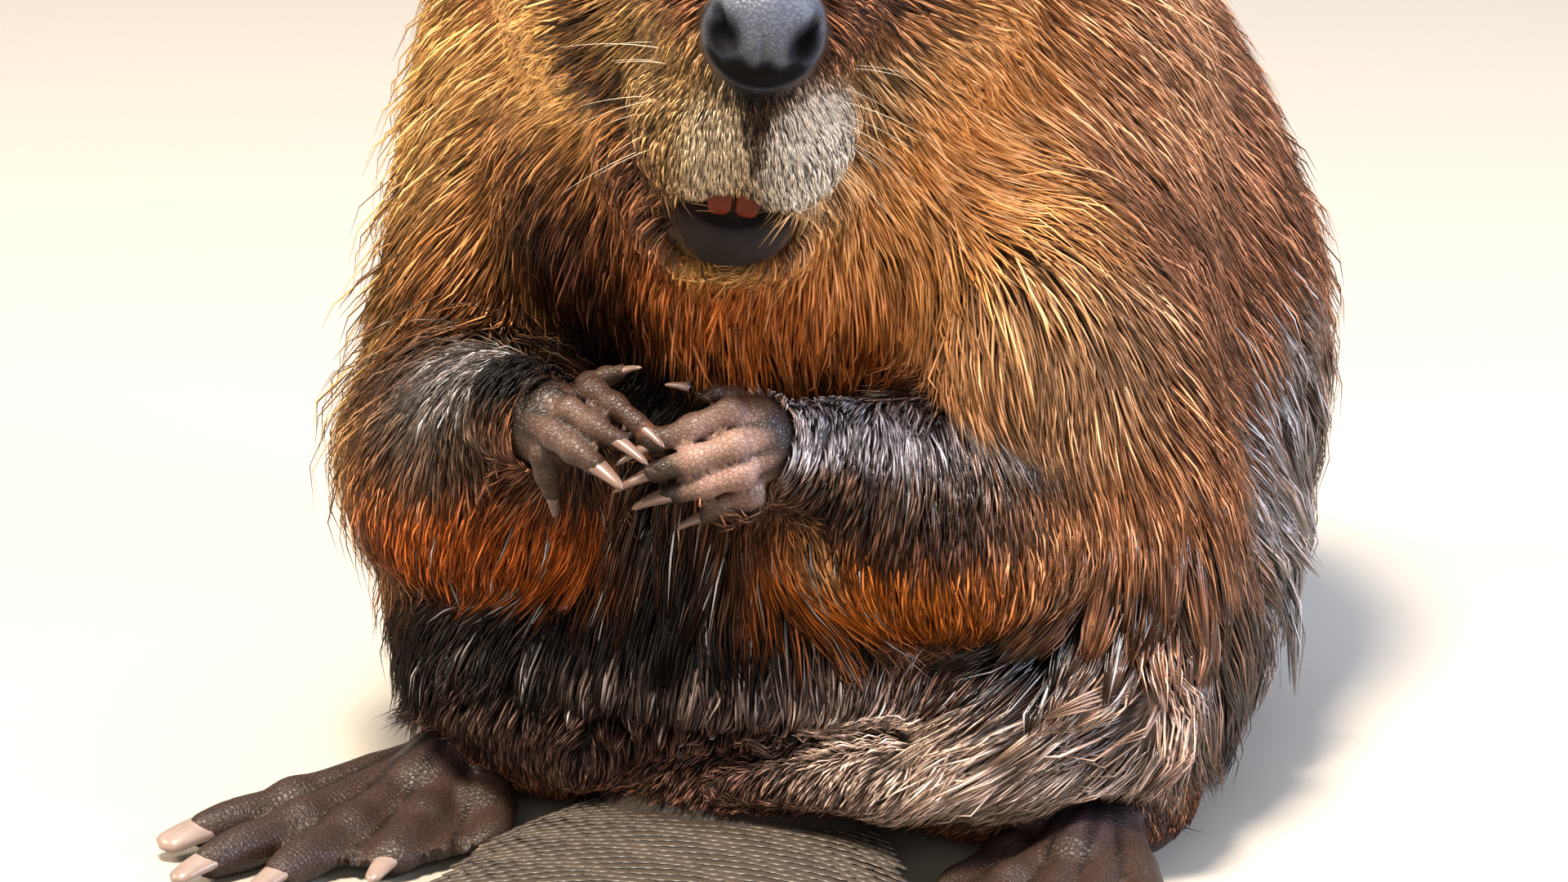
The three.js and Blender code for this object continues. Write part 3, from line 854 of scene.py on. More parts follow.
# Places where hair stands away from the body in spikes: middle, reach and how far.
STRAY = (
    ((-108, -70, 150), 60, 1.0),
    ((-80, -60, 215), 40, 0.8),
    ((132, 40, 110), 70, 0.8),
    ((104, -20, 230), 50, 0.4),
    ((64, -106, 205), 44, 0.8),
    ((-46, -116, 215), 36, 0.5),
    ((126, -20, 70), 40, 0.8),
)


# The underside is bare up to this height, because nothing of it shows.
BARE_FLOOR_TOP = 3.5


class Roots:
    """Where the locks grow: points strewn evenly over the skin's triangles."""

    def __init__(self, rng, share):
        corners = skin_verts[skin_tris]
        middles = corners.mean(1)
        areas = length_of(np.cross(corners[:, 1] - corners[:, 0], corners[:, 2] - corners[:, 0])) / 2
        weights = coat_weights(middles)
        per_cm2 = sum(w * COATS[name][DENSITY] for name, w in weights.items())
        off_floor = ease(middles[:, 2], 1.0, BARE_FLOOR_TOP)
        wanted = areas * (U * U / 100) * per_cm2 * share * off_floor
        ends = np.cumsum(wanted)
        count = int(ends[-1])
        picks = (np.arange(count) + rng.random(count)) * (ends[-1] / count)
        self.triangle = np.minimum(np.searchsorted(ends, picks), len(ends) - 1)
        a, b = rng.random((2, count))
        over = a + b > 1
        a[over], b[over] = 1 - a[over], 1 - b[over]
        self.shares = np.stack([1 - a - b, a, b], 1).astype(np.float32)
        self.points = (corners[self.triangle] * self.shares[:, :, None]).sum(1)


# How far below the skin a lock starts, and how near the floor its hair may come.
ROOT_DEPTH, LOWEST_HAIR = 0.9, 0.6


def march(points, length, depth, roll, heights):
    """Spines of locks: each goes along the skin from its root and rises to the coat's outline."""
    p = points.astype(np.float32)
    normal = skin_slope(p)
    way = lie(p, normal)
    way = unit(way * np.cos(roll)[:, None] + np.cross(normal, way) * np.sin(roll)[:, None])
    spots, ups = [p - normal * ROOT_DEPTH], [normal]
    for height in heights:
        p = p + way * (length / len(heights))[:, None]
        normal = skin_slope(p)
        p = p + normal * (depth * height - skin_field(p))[:, None]
        p[:, 2] = np.maximum(p[:, 2], LOWEST_HAIR)
        way = unit(along_surface(way, normal))
        spots.append(p)
        ups.append(normal)
    return np.stack(spots, 1), np.stack(ups, 1)


def gather(spines, roots, pull, every, rng):
    """Draws the ends of neighbouring locks together, and says which lock each one leans to."""
    seeds = np.sort(rng.permutation(len(roots))[: max(1, len(roots) // every)])
    tree = KDTree(len(seeds))
    for i, seed in enumerate(seeds):
        tree.insert(roots[seed], i)
    tree.balance()
    nearest = seeds[[tree.find(r)[1] for r in roots]]
    along = np.linspace(0, 1, spines.shape[1]) ** 1.2
    share = (pull[:, None] * along)[:, :, None]
    return spines + (spines[nearest] - spines) * share, nearest


def lock_rings(spines, ups, widths):
    """The corners of closed, flattened locks: a root, rings of three and a tip."""
    rings = spines.shape[1] - 2
    corners = [spines[:, :1]]
    for i in range(1, rings + 1):
        along = unit(spines[:, i + 1] - spines[:, i - 1])
        side = unit(np.cross(along, ups[:, i]))
        up = np.cross(side, along)
        wide = widths[:, None] * (0.5 if i == 1 else 0.4)
        offsets = (-side * wide, up * wide * 0.75, side * wide)
        corners += [(spines[:, i] + offset)[:, None] for offset in offsets]
    corners.append(spines[:, -1:])
    return np.concatenate(corners, 1)


def lock_faces(rings):
    """One lock's triangles, which index its root, rings and tip."""
    def ring(i):
        return [1 + i * 3 + k for k in range(3)]

    faces = [(0, ring(0)[(k + 1) % 3], ring(0)[k]) for k in range(3)]
    for i in range(rings - 1):
        a, b = ring(i), ring(i + 1)
        for k in range(3):
            m = (k + 1) % 3
            faces += [(a[k], a[m], b[m]), (a[k], b[m], b[k])]
    last, tip = ring(rings - 1), 1 + rings * 3
    faces += [(last[k], last[(k + 1) % 3], tip) for k in range(3)]
    return np.array(faces)


def unwrap(triangles):
    """A flat map of part of the skin: for each of its triangles, the three corners' places."""
    used, back = np.unique(skin_tris[triangles], return_inverse=True)
    patch = new_mesh("patch", skin_verts[used] * METRES, back.reshape(-1, 3))
    bpy.context.view_layer.objects.active = patch
    patch.select_set(True)
    bpy.ops.object.mode_set(mode="EDIT")
    bpy.ops.mesh.select_all(action="SELECT")
    bpy.ops.uv.smart_project(angle_limit=math.radians(66), island_margin=0.002)
    bpy.ops.object.mode_set(mode="OBJECT")
    places = np.empty(len(triangles) * 6, np.float32)
    patch.data.uv_layers.active.data.foreach_get("uv", places)
    mesh = patch.data
    bpy.data.objects.remove(patch)
    bpy.data.meshes.remove(mesh)
    return places.reshape(-1, 3, 2)


# How large one lock's patch is on the skin's map.
PATCH = 0.003


def coat_piece(name, roots, pick, corners, tints, wet, rings):
    """One piece of the coat: the picked roots' locks, with colours and places on the skin's map."""
    count, per_lock = corners.shape[:2]
    one = lock_faces(rings)
    faces = (np.arange(count)[:, None, None] * per_lock + one).reshape(-1, 3)
    obj = new_mesh(name, corners.reshape(-1, 3) * METRES, faces)
    mesh = obj.data
    for finish in (fur, wet_fur):
        mesh.materials.append(finish)
    triangles, back = np.unique(roots.triangle[pick], return_inverse=True)
    flat = unwrap(triangles)[back]
    at = (flat * roots.shares[pick][:, :, None]).sum(1)
    across = np.array([0] + [-0.5, 0, 0.5] * rings + [0]) * PATCH * 0.8
    along = np.concatenate([[0], np.repeat(np.arange(1, rings + 1) / (rings + 1), 3), [1]]) * PATCH
    places = at[:, None, :] * (1 - PATCH) + np.stack([across + PATCH / 2, along], 1)[None]
    layer = mesh.uv_layers.new(name="OFBake")
    layer.data.foreach_set("uv", places.reshape(-1, 2)[faces.ravel()].astype(np.float32).ravel())
    add_colour(mesh, "tint", tints.reshape(-1, 3))
    mesh.polygons.foreach_set("material_index", np.repeat((wet > 0.5).astype(np.int32), len(one)))
    return obj


def add_colour(mesh, name, colours):
    """Writes a colour for each of a mesh's points."""
    rgba = np.ones((len(colours), 4), np.float32)
    rgba[:, :3] = colours
    mesh.attributes.new(name, "FLOAT_COLOR", "POINT").data.foreach_set("color", rgba.ravel())


def add_values(mesh, name, values):
    """Writes a number for each of a mesh's points."""
    mesh.attributes.new(name, "FLOAT", "POINT").data.foreach_set("value", np.asarray(values, np.float32))


def region_names(p, weights):
    """The name of the coat piece that each root belongs to. Trunk pieces part by the angle from the front."""
    q = to_head(p)
    names = np.array(list(weights), object)
    region = names[np.argmax(np.stack([weights[n] for n in names], 1), 1)]
    side = np.where(p[:, 0] > 8, "left", "right").astype(object)
    head_side = np.where(q[:, 0] > 0, "left", "right").astype(object)
    front = p[:, 1] < -58
    turn = np.degrees(np.arctan2(p[:, 0] - 10, -(p[:, 1] - 40)))
    high = p[:, 2] > 128
    out = np.empty(len(p), object)
    for i in range(len(p)):
        part = region[i]
        if part == "face":
            out[i] = "fur_face"
        elif part == "head":
            out[i] = "fur_head_" + head_side[i]
        elif part == "arm":
            out[i] = "fur_arm_" + side[i]
        elif part in ("leg", "ankle"):
            out[i] = "fur_legs"
        elif front[i] and abs(turn[i]) < 62:
            out[i] = ("fur_chest_" if high[i] else "fur_belly_") + side[i]
        elif abs(turn[i]) > 118:
            out[i] = ("fur_back_" if high[i] else "fur_rump_") + side[i]
        else:
            out[i] = ("fur_shoulder_" if high[i] else "fur_flank_") + side[i]
    return out


# What pale hairs turn to in warm and in grey fur, what wet ones shine with, and the most of any one colour.
PALE_WARM, PALE_GREY, GLINT = 0xF2D3B0, 0xD6D3DA, 0xD4CED2
BRIGHTEST = 0.8


def shades(rng, base, wet, shine, tuft, root, levels):
    """Each lock's colour from root to tip: dark at the root, some locks pale and some that catch the sky."""
    count = len(base)
    light = rng.random(count)
    strength = np.where(light > 0.7, 1.5 + 1.3 * rng.random(count), 0.18 + 1.05 * light)
    strength = strength * tuft * np.where(wet > 0.5, 0.75, 1.1)
    # a pale coat varies less than a dark one, but the muzzle has dark flecks
    vivid = 1 - base.min(1) / base.max(1)
    rust = ease(vivid, 0.93, 0.98)
    strength = strength ** (1 - 0.5 * ease(base[:, 0], 0.15, 0.8) - 0.3 * rust)
    strength = np.where(rng.random(count) < 0.2 * root, 0.12, strength)
    tone = base * strength[:, None]
    top = tone.max(1, keepdims=True)
    warm = ease(vivid, 0.25, 0.6)[:, None]
    paling = rgb(PALE_WARM) * warm + rgb(PALE_GREY) * (1 - warm)
    share = (0.5 - 0.35 * rust)[:, None]
    straw = (base / base.max(1, keepdims=True) * (1 - share) + paling * share) * top * 1.2
    pale = (ease(light, 0.6, 1.0) * 0.5)[:, None]
    tone = tone * (1 - pale) + straw * pale
    shining = (rng.random(count) < shine)[:, None]
    glint = rgb(GLINT) * (0.2 + 0.6 * rng.random((count, 1)))
    tone = np.where(shining, glint, tone)
    tone = tone * np.minimum(1, BRIGHTEST / np.maximum(tone.max(1, keepdims=True), 1e-4))
    # where the coat is short the locks show down to their roots, so these are light
    levels = np.tile(np.array(levels, np.float32), (count, 1))
    levels[:, 0] += (0.75 - levels[:, 0]) * root
    levels[:, 1:4] += (0.9 - levels[:, 1:4]) * root[:, None] * 0.8
    return np.clip(tone[:, None, :] * levels[:, :, None], 0, 0.95).astype(np.float32)


# Long locks have two rings and short ones have one. Each kind has its rise along the lock as shares of the
# coat's depth, how many locks make a tuft and the brightness of its corners from root to tip.
LONG_LOCKS = ((0.5, 0.85, 1.0), 5, (0.14, 0.45, 0.54, 0.45, 1.0, 1.1, 1.0, 1.35))
SHORT_LOCKS = ((0.7, 1.0), 3, (0.5, 0.95, 1.0, 0.95, 1.15))
COAT_SHARE, COAT_WIDENED = ((1.0, 1.0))
# The height of the short fur at the foot of the belly.
HEM_TOP = 44


def hair_lengths(rng, points, weights, from_paws):
    """Each lock's length: less near the paws, the hem of the belly and the mouth."""
    count = len(points)
    length = blend_of(weights, LENGTH) / U * (0.7 + 0.6 * rng.random(count))
    length = length * (0.35 + 0.65 * ease(from_paws, 2, 28))
    # the belly's hair ends in an edge above the short fur of the hem
    front = ease(-points[:, 1], 60, 90) * ease(-points[:, 0], -92, -70) * ease(points[:, 0], -98, -72)
    above_hem = points[:, 2] - HEM_TOP
    room = np.maximum(6 + 3 * rng.random(count), above_hem * (0.9 + 0.3 * rng.random(count)))
    length = length * (1 - front) + np.minimum(length, room) * front
    from_mouth = length_of((to_head(points) - (0, -60, -70)) / (22, 20, 12))
    return length * (0.25 + 0.75 * ease(from_mouth, 1.0, 1.9))


def hair_depths(rng, points, weights, from_paws):
    """How high each lock rises: less near the paws, and more where single locks stand away."""
    count = len(points)
    stray = np.zeros(count, np.float32)
    for at, reach, amount in STRAY:
        stray = np.maximum(stray, amount * fading(points, at, reach))
    proud = 1 + (rng.random(count) > 0.9) * (0.3 + stray)
    depth = blend_of(weights, DEPTH) / U * (0.3 + 0.7 * rng.random(count) ** 0.6) * proud
    return depth * (0.3 + 0.7 * ease(from_paws, -2, 18))


def clear_of_paws_and_eyes(roots, spines):
    """Which locks neither cross the forepaws nor cover an eye."""
    ends = spines[:, -1].astype(np.float32)
    from_paw = np.min([
        np.where(length_of(roots - np.array(WRIST[s])) > 24, paw(ends), 9) for s, paw in zip((1, -1), paws)
    ], axis=0)
    openings = [on_head(mirrored(np.add(EYE_AT, (8, -5, 0.5)), s)) for s in (1, -1)]
    from_eye = np.min([length_of((spines - at).reshape(-1, 3)) for at in openings], axis=0)
    return (from_paw > 1.2) & (from_eye.reshape(len(roots), -1).min(1) > 6)


def grow_coat():
    """Every piece of the coat."""
    pieces = []
    rng = np.random.default_rng(SEED)
    roots = Roots(rng, COAT_SHARE)
    points = roots.points.astype(np.float32)
    weights = coat_weights(points)
    names = region_names(points, weights)
    short = (names == "fur_face") | ((names == "fur_legs") & (weights["ankle"] > 0.4))
    wet, drawn = wetness(points)
    shine = np.max([spread(points, at, radii) * share for at, radii, share in GLINTS], axis=0)
    base = coat_colours_and_painted_light(points)
    count = len(points)
    light_root = spread(to_head(points), (0, -46, -26), (50, 40, 52))
    from_paws = np.minimum(*[paw(points) for paw in paws])
    length = hair_lengths(rng, points, weights, from_paws)
    widths = blend_of(weights, WIDTH) / U * (0.75 + 0.5 * rng.random(count)) * COAT_WIDENED
    depth = hair_depths(rng, points, weights, from_paws)
    roll = np.radians(rng.normal(0, 9, count))
    dry_pull = 0.25 * (weights["head"] + 0.6 * weights["body"]) * (wet < 0.4)
    for chosen, (heights, every, levels) in ((~short, LONG_LOCKS), (short, SHORT_LOCKS)):
        pick = np.flatnonzero(chosen)
        at = points[pick]
        spines, ups = march(at, length[pick], depth[pick], roll[pick], heights)
        # tufts, then larger ones that share a brightness
        spines, nearest = gather(spines, at, np.full(len(pick), 0.3), every, rng)
        tuft = (0.62 + 0.76 * rng.random(len(pick)))[nearest]
        spines, nearest = gather(spines, at, 0.1 + 0.8 * drawn[pick] + dry_pull[pick], every * 5, rng)
        spot = rng.random(len(pick))[nearest]
        tuft = tuft * (1 + (spot - 0.5) * (0.4 + 0.7 * wet[pick]))
        glinting = shine[pick] * np.where(spot > 0.5, 1.6, 0.4)
        # the wettest hair hangs in broad spikes
        soaked = ease(drawn[pick], 0.5, 0.9)
        spines, nearest = gather(spines, at, 0.75 * soaked, every * 8, rng)
        tuft = tuft * (1 + (rng.random(len(pick))[nearest] - 0.55) * 1.1 * soaked)
        kept = clear_of_paws_and_eyes(at, spines)
        pick, spines, ups, tuft, glinting = pick[kept], spines[kept], ups[kept], tuft[kept], glinting[kept]
        rings = len(heights) - 1
        corners = lock_rings(spines, ups, widths[pick])
        tints = shades(rng, base[pick], wet[pick], glinting, tuft, light_root[pick], levels)
        local = names[pick]
        for name in sorted(set(local)):
            mine = np.flatnonzero(local == name)
            label = name if rings == 2 or name == "fur_face" else name + "_short"
            piece = coat_piece(label, roots, pick[mine], corners[mine], tints[mine], wet[pick[mine]], rings)
            pieces.append(piece)
    return pieces


# Materials.
def material(name):
    """A new node material and its tree, with the shader ready."""
    made = bpy.data.materials.new(name)
    made.use_nodes = True
    return made, made.node_tree, made.node_tree.nodes["Principled BSDF"]


def node(tree, kind, settings=None, **links):
    """Adds a shader node. Settings are its properties or, by name or number, its sockets' values."""
    made = tree.nodes.new(kind if "Node" in kind else "ShaderNode" + kind)
    for key, value in (settings or {}).items():
        if isinstance(key, str) and hasattr(made, key):
            setattr(made, key, value)
        else:
            made.inputs[key].default_value = value
    for key, source in links.items():
        tree.links.new(source, made.inputs[int(key[1:]) if key[0] == "_" else key])
    return made


def set_sockets(shader, **values):
    for key, value in values.items():
        shader.inputs[key.replace("_", " ")].default_value = value


def attribute(tree, name, socket="Fac"):
    return node(tree, "Attribute", {"attribute_name": name}).outputs[socket]


def object_place(tree):
    return node(tree, "TexCoord").outputs["Object"]


def stretched(tree, value, low, high, **sources):
    """A value of 0 to 1, or of the source range, taken to the range from low to high."""
    limits = {"From " + key: number for key, number in sources.items()}
    return node(tree, "MapRange", {**limits, "To Min": low, "To Max": high}, Value=value).outputs[0]


def fur_material(name, rough, gloss, level):
    """Guard hair: keratin, smooth along each hair, so it shines in streaks. Water adds a clear gloss."""
    made, tree, shader = material(name)
    set_sockets(shader, IOR=1.55, Roughness=rough, Specular_IOR_Level=level)
    set_sockets(shader, Coat_Weight=gloss, Coat_Roughness=0.14, Coat_IOR=1.4)
    tint = attribute(tree, "tint", "Color")
    # hairs of a lock differ a little over about 3 mm
    mottle = node(tree, "TexNoise", {"Scale": 320.0, "Detail": 2.0}, Vector=object_place(tree))
    shade = stretched(tree, mottle.outputs["Fac"], 0.8, 1.2)
    mixed = node(tree, "VectorMath", {"operation": "SCALE"}, _0=tint, Scale=shade)
    tree.links.new(mixed.outputs[0], shader.inputs["Base Color"])
    return made


def hide_material(name, level):
    """Skin: dark underfur where hair grows, and wrinkled leather on the paws, feet, nose and lip. The
    underfur's dark tint is partly painted shade under the coat, and its hollows and the leather's creases are
    painted darker as shade.
    """
    made, tree, shader = material(name)
    set_sockets(shader, IOR=1.45, Specular_IOR_Level=level)
    bare, place = attribute(tree, "bare"), object_place(tree)

    def product(first, second):
        return node(tree, "Math", {"operation": "MULTIPLY"}, _0=first, _1=second).outputs[0]

    def blend(amount, first, second):
        return node(tree, "Mix", {"data_type": "FLOAT"}, _0=amount, _2=first, _3=second).outputs[0]

    # underfur lies in fine clumps about 2 mm apart
    down = node(tree, "TexNoise", {"Scale": 450.0, "Detail": 4.0, "Roughness": 0.6}, Vector=place)
    # creases in the leather cross each other every 2 to 3 mm
    cracks = {"feature": "DISTANCE_TO_EDGE", "Scale": 620.0, "Randomness": 0.95}
    crease = node(tree, "TexVoronoi", cracks, Vector=place).outputs["Distance"]
    crease = stretched(tree, crease, 0.0, 1.0, Max=0.16)
    # the nose pad is grained instead
    grain = node(tree, "TexVoronoi", {"feature": "F1", "Scale": 900.0}, Vector=place).outputs["Distance"]
    dots = stretched(tree, grain, 1.0, 0.0, Max=0.7)
    # fingers and toes are ringed every 1.8 mm or so
    wave = node(tree, "Math", {"operation": "MULTIPLY", 1: 3.6}, _0=attribute(tree, "ring"))
    wave = node(tree, "Math", {"operation": "SINE"}, _0=wave.outputs[0])
    crease = product(crease, stretched(tree, wave.outputs[0], 0.55, 1.0, Min=-1.0))
    leather = blend(attribute(tree, "pebble"), crease, dots)
    relief = blend(bare, down.outputs["Fac"], leather)
    bump = node(tree, "Bump", {"Strength": 0.4, "Distance": 0.0005}, Height=relief)
    tree.links.new(bump.outputs[0], shader.inputs["Normal"])
    # The blotches are the hide's own uneven tone. The colour is also darker in the underfur's hollows, the
    # leather's creases and between its grains: painted shade.
    blotch = node(tree, "TexNoise", {"Scale": 90.0, "Detail": 3.0}, Vector=place)
    shade = product(stretched(tree, blotch.outputs["Fac"], 0.72, 1.28), stretched(tree, relief, 0.55, 1.0))
    tint = attribute(tree, "tint", "Color")
    mixed = node(tree, "VectorMath", {"operation": "SCALE"}, _0=tint, Scale=shade)
    tree.links.new(mixed.outputs[0], shader.inputs["Base Color"])
    rough = node(tree, "Mix", {"data_type": "FLOAT", 2: 0.85, 3: 0.42}, _0=bare)
    tree.links.new(rough.outputs[0], shader.inputs["Roughness"])
    return made


def simple_gloss(name, code, dark, rough, scale, ior):
    """A smooth hard finish whose colour runs between two shades over a fine pattern."""
    made, tree, shader = material(name)
    set_sockets(shader, IOR=ior, Roughness=rough)
    mottle = node(tree, "TexNoise", {"Scale": scale, "Detail": 3.0}, Vector=object_place(tree))
    colours = {6: (*hex_rgb(dark), 1), 7: (*hex_rgb(code), 1)}
    ramp = node(tree, "Mix", {"data_type": "RGBA", **colours}, _0=mottle.outputs["Fac"])
    tree.links.new(ramp.outputs[2], shader.inputs["Base Color"])
    bump = node(tree, "Bump", {"Strength": 0.2, "Distance": 0.0003}, Height=mottle.outputs["Fac"])
    tree.links.new(bump.outputs[0], shader.inputs["Normal"])
    return made


# The tones of the bare skin, each over the ones before it.
LEATHERS = (
    (0x38251B, "paws"),
    # painted highlight on the knuckles, strongest on the left paw
    (0x9C7C70, "knuckles"),
    (0x281B17, "feet"),
    (0x3A2A23, "toe_ends"),
    # painted sheen: a purplish grey gloss on top of the ankles
    (0x3E3038, "ankles"),
    (0x555A68, "nose"),
    (0x0E0D0F, "nose_low"),
    (0x2A2422, "lip"),
    (0x3C3530, "tail"),
)


def crease_between(p, fields):
    """1 where two toes or fingers meet, 0 elsewhere."""
    near = np.sort(np.stack([field(p) for field in fields]), axis=0)
    return 1 - ease(near[1] - near[0], 0.2, 2.2)


def distance_along(p, lines):
    """How far points are along the nearest of some lines, each given by its two ends."""
    nearest, along = np.full(len(p), np.inf), np.zeros(len(p))
    for a, b in lines:
        a, b = np.array(a, float), np.array(b, float)
        way = (b - a) / np.linalg.norm(b - a)
        t = (p - a) @ way
        gap = length_of(p - a - np.clip(t, 0, np.linalg.norm(b - a))[:, None] * way)
        along = np.where(gap < nearest, t, along)
        nearest = np.minimum(gap, nearest)
    return along


def leather_masks(p):
    """How strongly each tone of the bare skin shows at its points."""
    q = to_head(p)
    hands, feet, tail = [
        ease(-distance, -2.5, -1)
        for distance in (np.minimum(*[paw(p) for paw in paws]), feet_field(p), tail_blade(p))
    ]
    nose_pad = ease(-length_of((q - (0, -79, -7)) / (17, 13, 16.5)), -1.12, -1.0)
    # painted highlight where light falls on the knuckles, mostly of the left paw
    knuckle_highlight_places = np.maximum(
        spread(p, (22, -167, 137), (15, 12, 15)) * 0.85, spread(p, (-24, -168, 143), (12, 10, 9)) * 0.2,
    )
    from_heels = np.maximum(*[ease(length_of(p[:, :2] - np.array(HEEL[s])), 92, 134) for s in (1, -1)])
    # where the painted sheen lies on top of each ankle
    sheen_on_ankles = np.maximum(*[spread(p, (HEEL[s][0], HEEL[s][1] - 40, 26), (22, 34, 12)) for s in (1, -1)])
    below_nostrils = ease(-q[:, 2] + 1.2 * np.sin(q[:, 0] * 0.8), 11, 17)
    round_nostrils = np.maximum(*[spread(q, (s * 11.5, -80, -9), (5.5, 9, 8)) for s in (1, -1)])
    return {
        "paws": hands,
        "knuckles": hands * knuckle_highlight_places,
        "feet": feet,
        "toe_ends": feet * from_heels * (p[:, 2] > 5) * 0.8,
        "ankles": feet * sheen_on_ankles * 0.7,
        "nose": nose_pad,
        "nose_low": nose_pad * np.maximum(below_nostrils, round_nostrils),
        "lip": ease(-from_lips(q), -1.08, -0.96),
        "tail": tail,
    }


fur = fur_material("guard_hair", 0.46, 0.0, 0.16)
wet_fur = fur_material("wet_guard_hair", 0.3, 0.5, 0.4)
hide = hide_material("hide", 0.35)
dark_hide = hide_material("dark_hide", 0.08)
claw_horn = simple_gloss("claw_horn", 0x7E665C, 0x50392F, 0.34, 160.0, 1.54)
nail_horn = simple_gloss("nail_horn", 0x93827A, 0x6C574A, 0.36, 140.0, 1.5)
enamel = simple_gloss("tooth_enamel", 0x66240A, 0x3A1004, 0.3, 240.0, 1.25)
eye_gloss = simple_gloss("wet_eye", 0x1A0E08, 0x070403, 0.04, 500.0, 1.38)
whisker_horn = simple_gloss("whisker_hair", 0xE6D9C4, 0xB9A488, 0.35, 300.0, 1.55)
tail_horn = simple_gloss("tail_scale", 0x483E33, 0x362E29, 0.4, 60.0, 1.5)

# How bright the skin is under the coat, where its dark tint is partly the underfur's own tone and partly
# painted shade beneath the locks; how dark the painted shade is where fingers and toes meet; and which bare
# places are part matt.
UNDERFUR_TONE_AND_SHADE, CREASE_SHADE = 0.22, 0.75
MATT_SHARES = {"lip": 0.35, "nose_low": 0.35}


def dress_skin(obj):
    """Gives the skin its tones, with painted shade under the coat and where fingers and toes meet, and says
    where it is bare, grained or ringed.
    """
    tint = coat_colours_and_painted_light(skin_verts) * UNDERFUR_TONE_AND_SHADE
    bare, shade_between_digits, rings = np.zeros((3, len(skin_verts)), np.float32)
    for code, place in LEATHERS:
        mask = masks[place]
        tint = tint * (1 - mask[:, None]) + rgb(code) * mask[:, None]
        bare = bare * (1 - mask) + mask * MATT_SHARES.get(place, 1.0)
    for side in (1, -1):
        finger_lines = [(knuckle, tip) for knuckle, tip, _ in FINGERS[side]]
        toe_lines = [
            ((*foot_axis(side, angle * 0.5, TOE_ROOT), 15), (*foot_axis(side, angle, length - NAIL_ROOM), 6))
            for angle, length in zip(TOE_SPREAD, TOE_LENGTHS)
        ]
        for place, middle, reach, fields, lines in (
            ("paws", PALM[side], 46, fingers(side), finger_lines),
            ("feet", (*foot_axis(side, 0, 90), 8), 90, toes(side), toe_lines),
        ):
            here = np.flatnonzero((length_of(skin_verts - np.array(middle)) < reach) & (masks[place] > 0.2))
            shade_between_digits[here] = crease_between(skin_verts[here], fields)
            rings[here] = distance_along(skin_verts[here], lines)
    # painted shade where two fingers or toes meet
    add_colour(obj.data, "tint", tint * (1 - CREASE_SHADE * shade_between_digits)[:, None])
    for name, values in (("pebble", masks["nose"]), ("ring", rings), ("bare", bare)):
        add_values(obj.data, name, values)


masks = leather_masks(skin_verts)
skin = new_mesh("skin", skin_verts * METRES, skin_tris)
dress_skin(skin)
skin.data.materials.append(hide)
skin.data.materials.append(dark_hide)
dark = np.maximum(masks["lip"], masks["nose_low"])[skin_tris].mean(1) > 0.5
skin.data.polygons.foreach_set("material_index", dark.astype(np.int32))
# The skin stands for every solid but these.
hard = ("eye", "hind_claw", "fore_claw", "incisors")
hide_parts(*[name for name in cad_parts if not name.startswith(hard)])
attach(skin, "root")

for piece in grow_coat():
    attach(piece, "root")


# Claws, teeth, eyes and whiskers.
def tube_faces(rows, sides):
    """Triangles round rows of points, closed by a first and a last point that come after them."""
    faces = []
    for i in range(rows - 1):
        for k in range(sides):
            a, b = i * sides + k, i * sides + (k + 1) % sides
            faces += [(a, a + sides, b + sides), (a, b + sides, b)]
    last = (rows - 1) * sides
    for k in range(sides):
        m = (k + 1) % sides
        faces += [(rows * sides, k, m), (rows * sides + 1, last + m, last + k)]
    return np.array(faces)


def swept(name, spine, ups, half_widths, half_heights, sides=12):
    """A closed tube along a spine, with an elliptical section, rounded off at both ends."""
    spine = np.array(spine, float)
    along = unit(np.gradient(spine, axis=0))
    side = unit(np.cross(along, ups))
    up = np.cross(side, along)
    angles = np.linspace(0, 2 * math.pi, sides, endpoint=False)
    ring = np.cos(angles)[None, :, None] * side[:, None] * np.array(half_widths)[:, None, None]
    ring = ring + np.sin(angles)[None, :, None] * up[:, None] * np.array(half_heights)[:, None, None]
    verts = np.concatenate([(spine[:, None] + ring).reshape(-1, 3), spine[:1], spine[-1:]])
    return new_mesh(name, verts * METRES, tube_faces(len(spine), sides))


# The shares of a claw's length that lie inside its finger or toe, and that round off its tip.
CLAW_ROOT, CLAW_ROUND = 0.15, 0.18


def claw(name, node_name, base, direction, length, radius, flat, blunt, hook):
    """A curved claw: flat is its height over its width, blunt its tip's width, hook its turn down."""
    ahead = unit(np.array([direction], float))[0]
    up = np.array((0, -0.25, 1.0))
    up = unit((up - ahead * (up @ ahead))[None])[0]
    t = np.linspace(-CLAW_ROOT, 1, 12)
    free = np.maximum(t, 0)
    spine = np.array(base) + ahead * (t * length)[:, None] - up * (free**2 * length * hook)[:, None]
    taper = np.clip(1 - (1 - blunt) * free**1.2, 0, 1)
    end = np.sqrt(np.clip(1 - np.clip((t - (1 - CLAW_ROUND)) / CLAW_ROUND, 0, 1) ** 2, 0.02, 1))
    widths = radius * taper * end
    made = swept(name, spine, np.tile(up, (len(t), 1)), widths, widths * flat)
    made.data.materials.append(nail_horn if "hind" in name else claw_horn)
    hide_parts(node_name)
    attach(made, "root")


SIDES = ((1, "left"), (-1, "right"))
# The length and width of each finger's claw, and the length, width and bluntness of each toe's.
FORE_CLAWS = ((12, 2.2), (12.5, 2.4), (11, 3.1), (8, 2.2), (6, 1.6))
HIND_CLAWS = ((17, 4.2, 0.5), (18, 4.4, 0.5), (18, 4.6, 0.55), (17, 5.0, 0.6), (17, 6.0, 0.8))

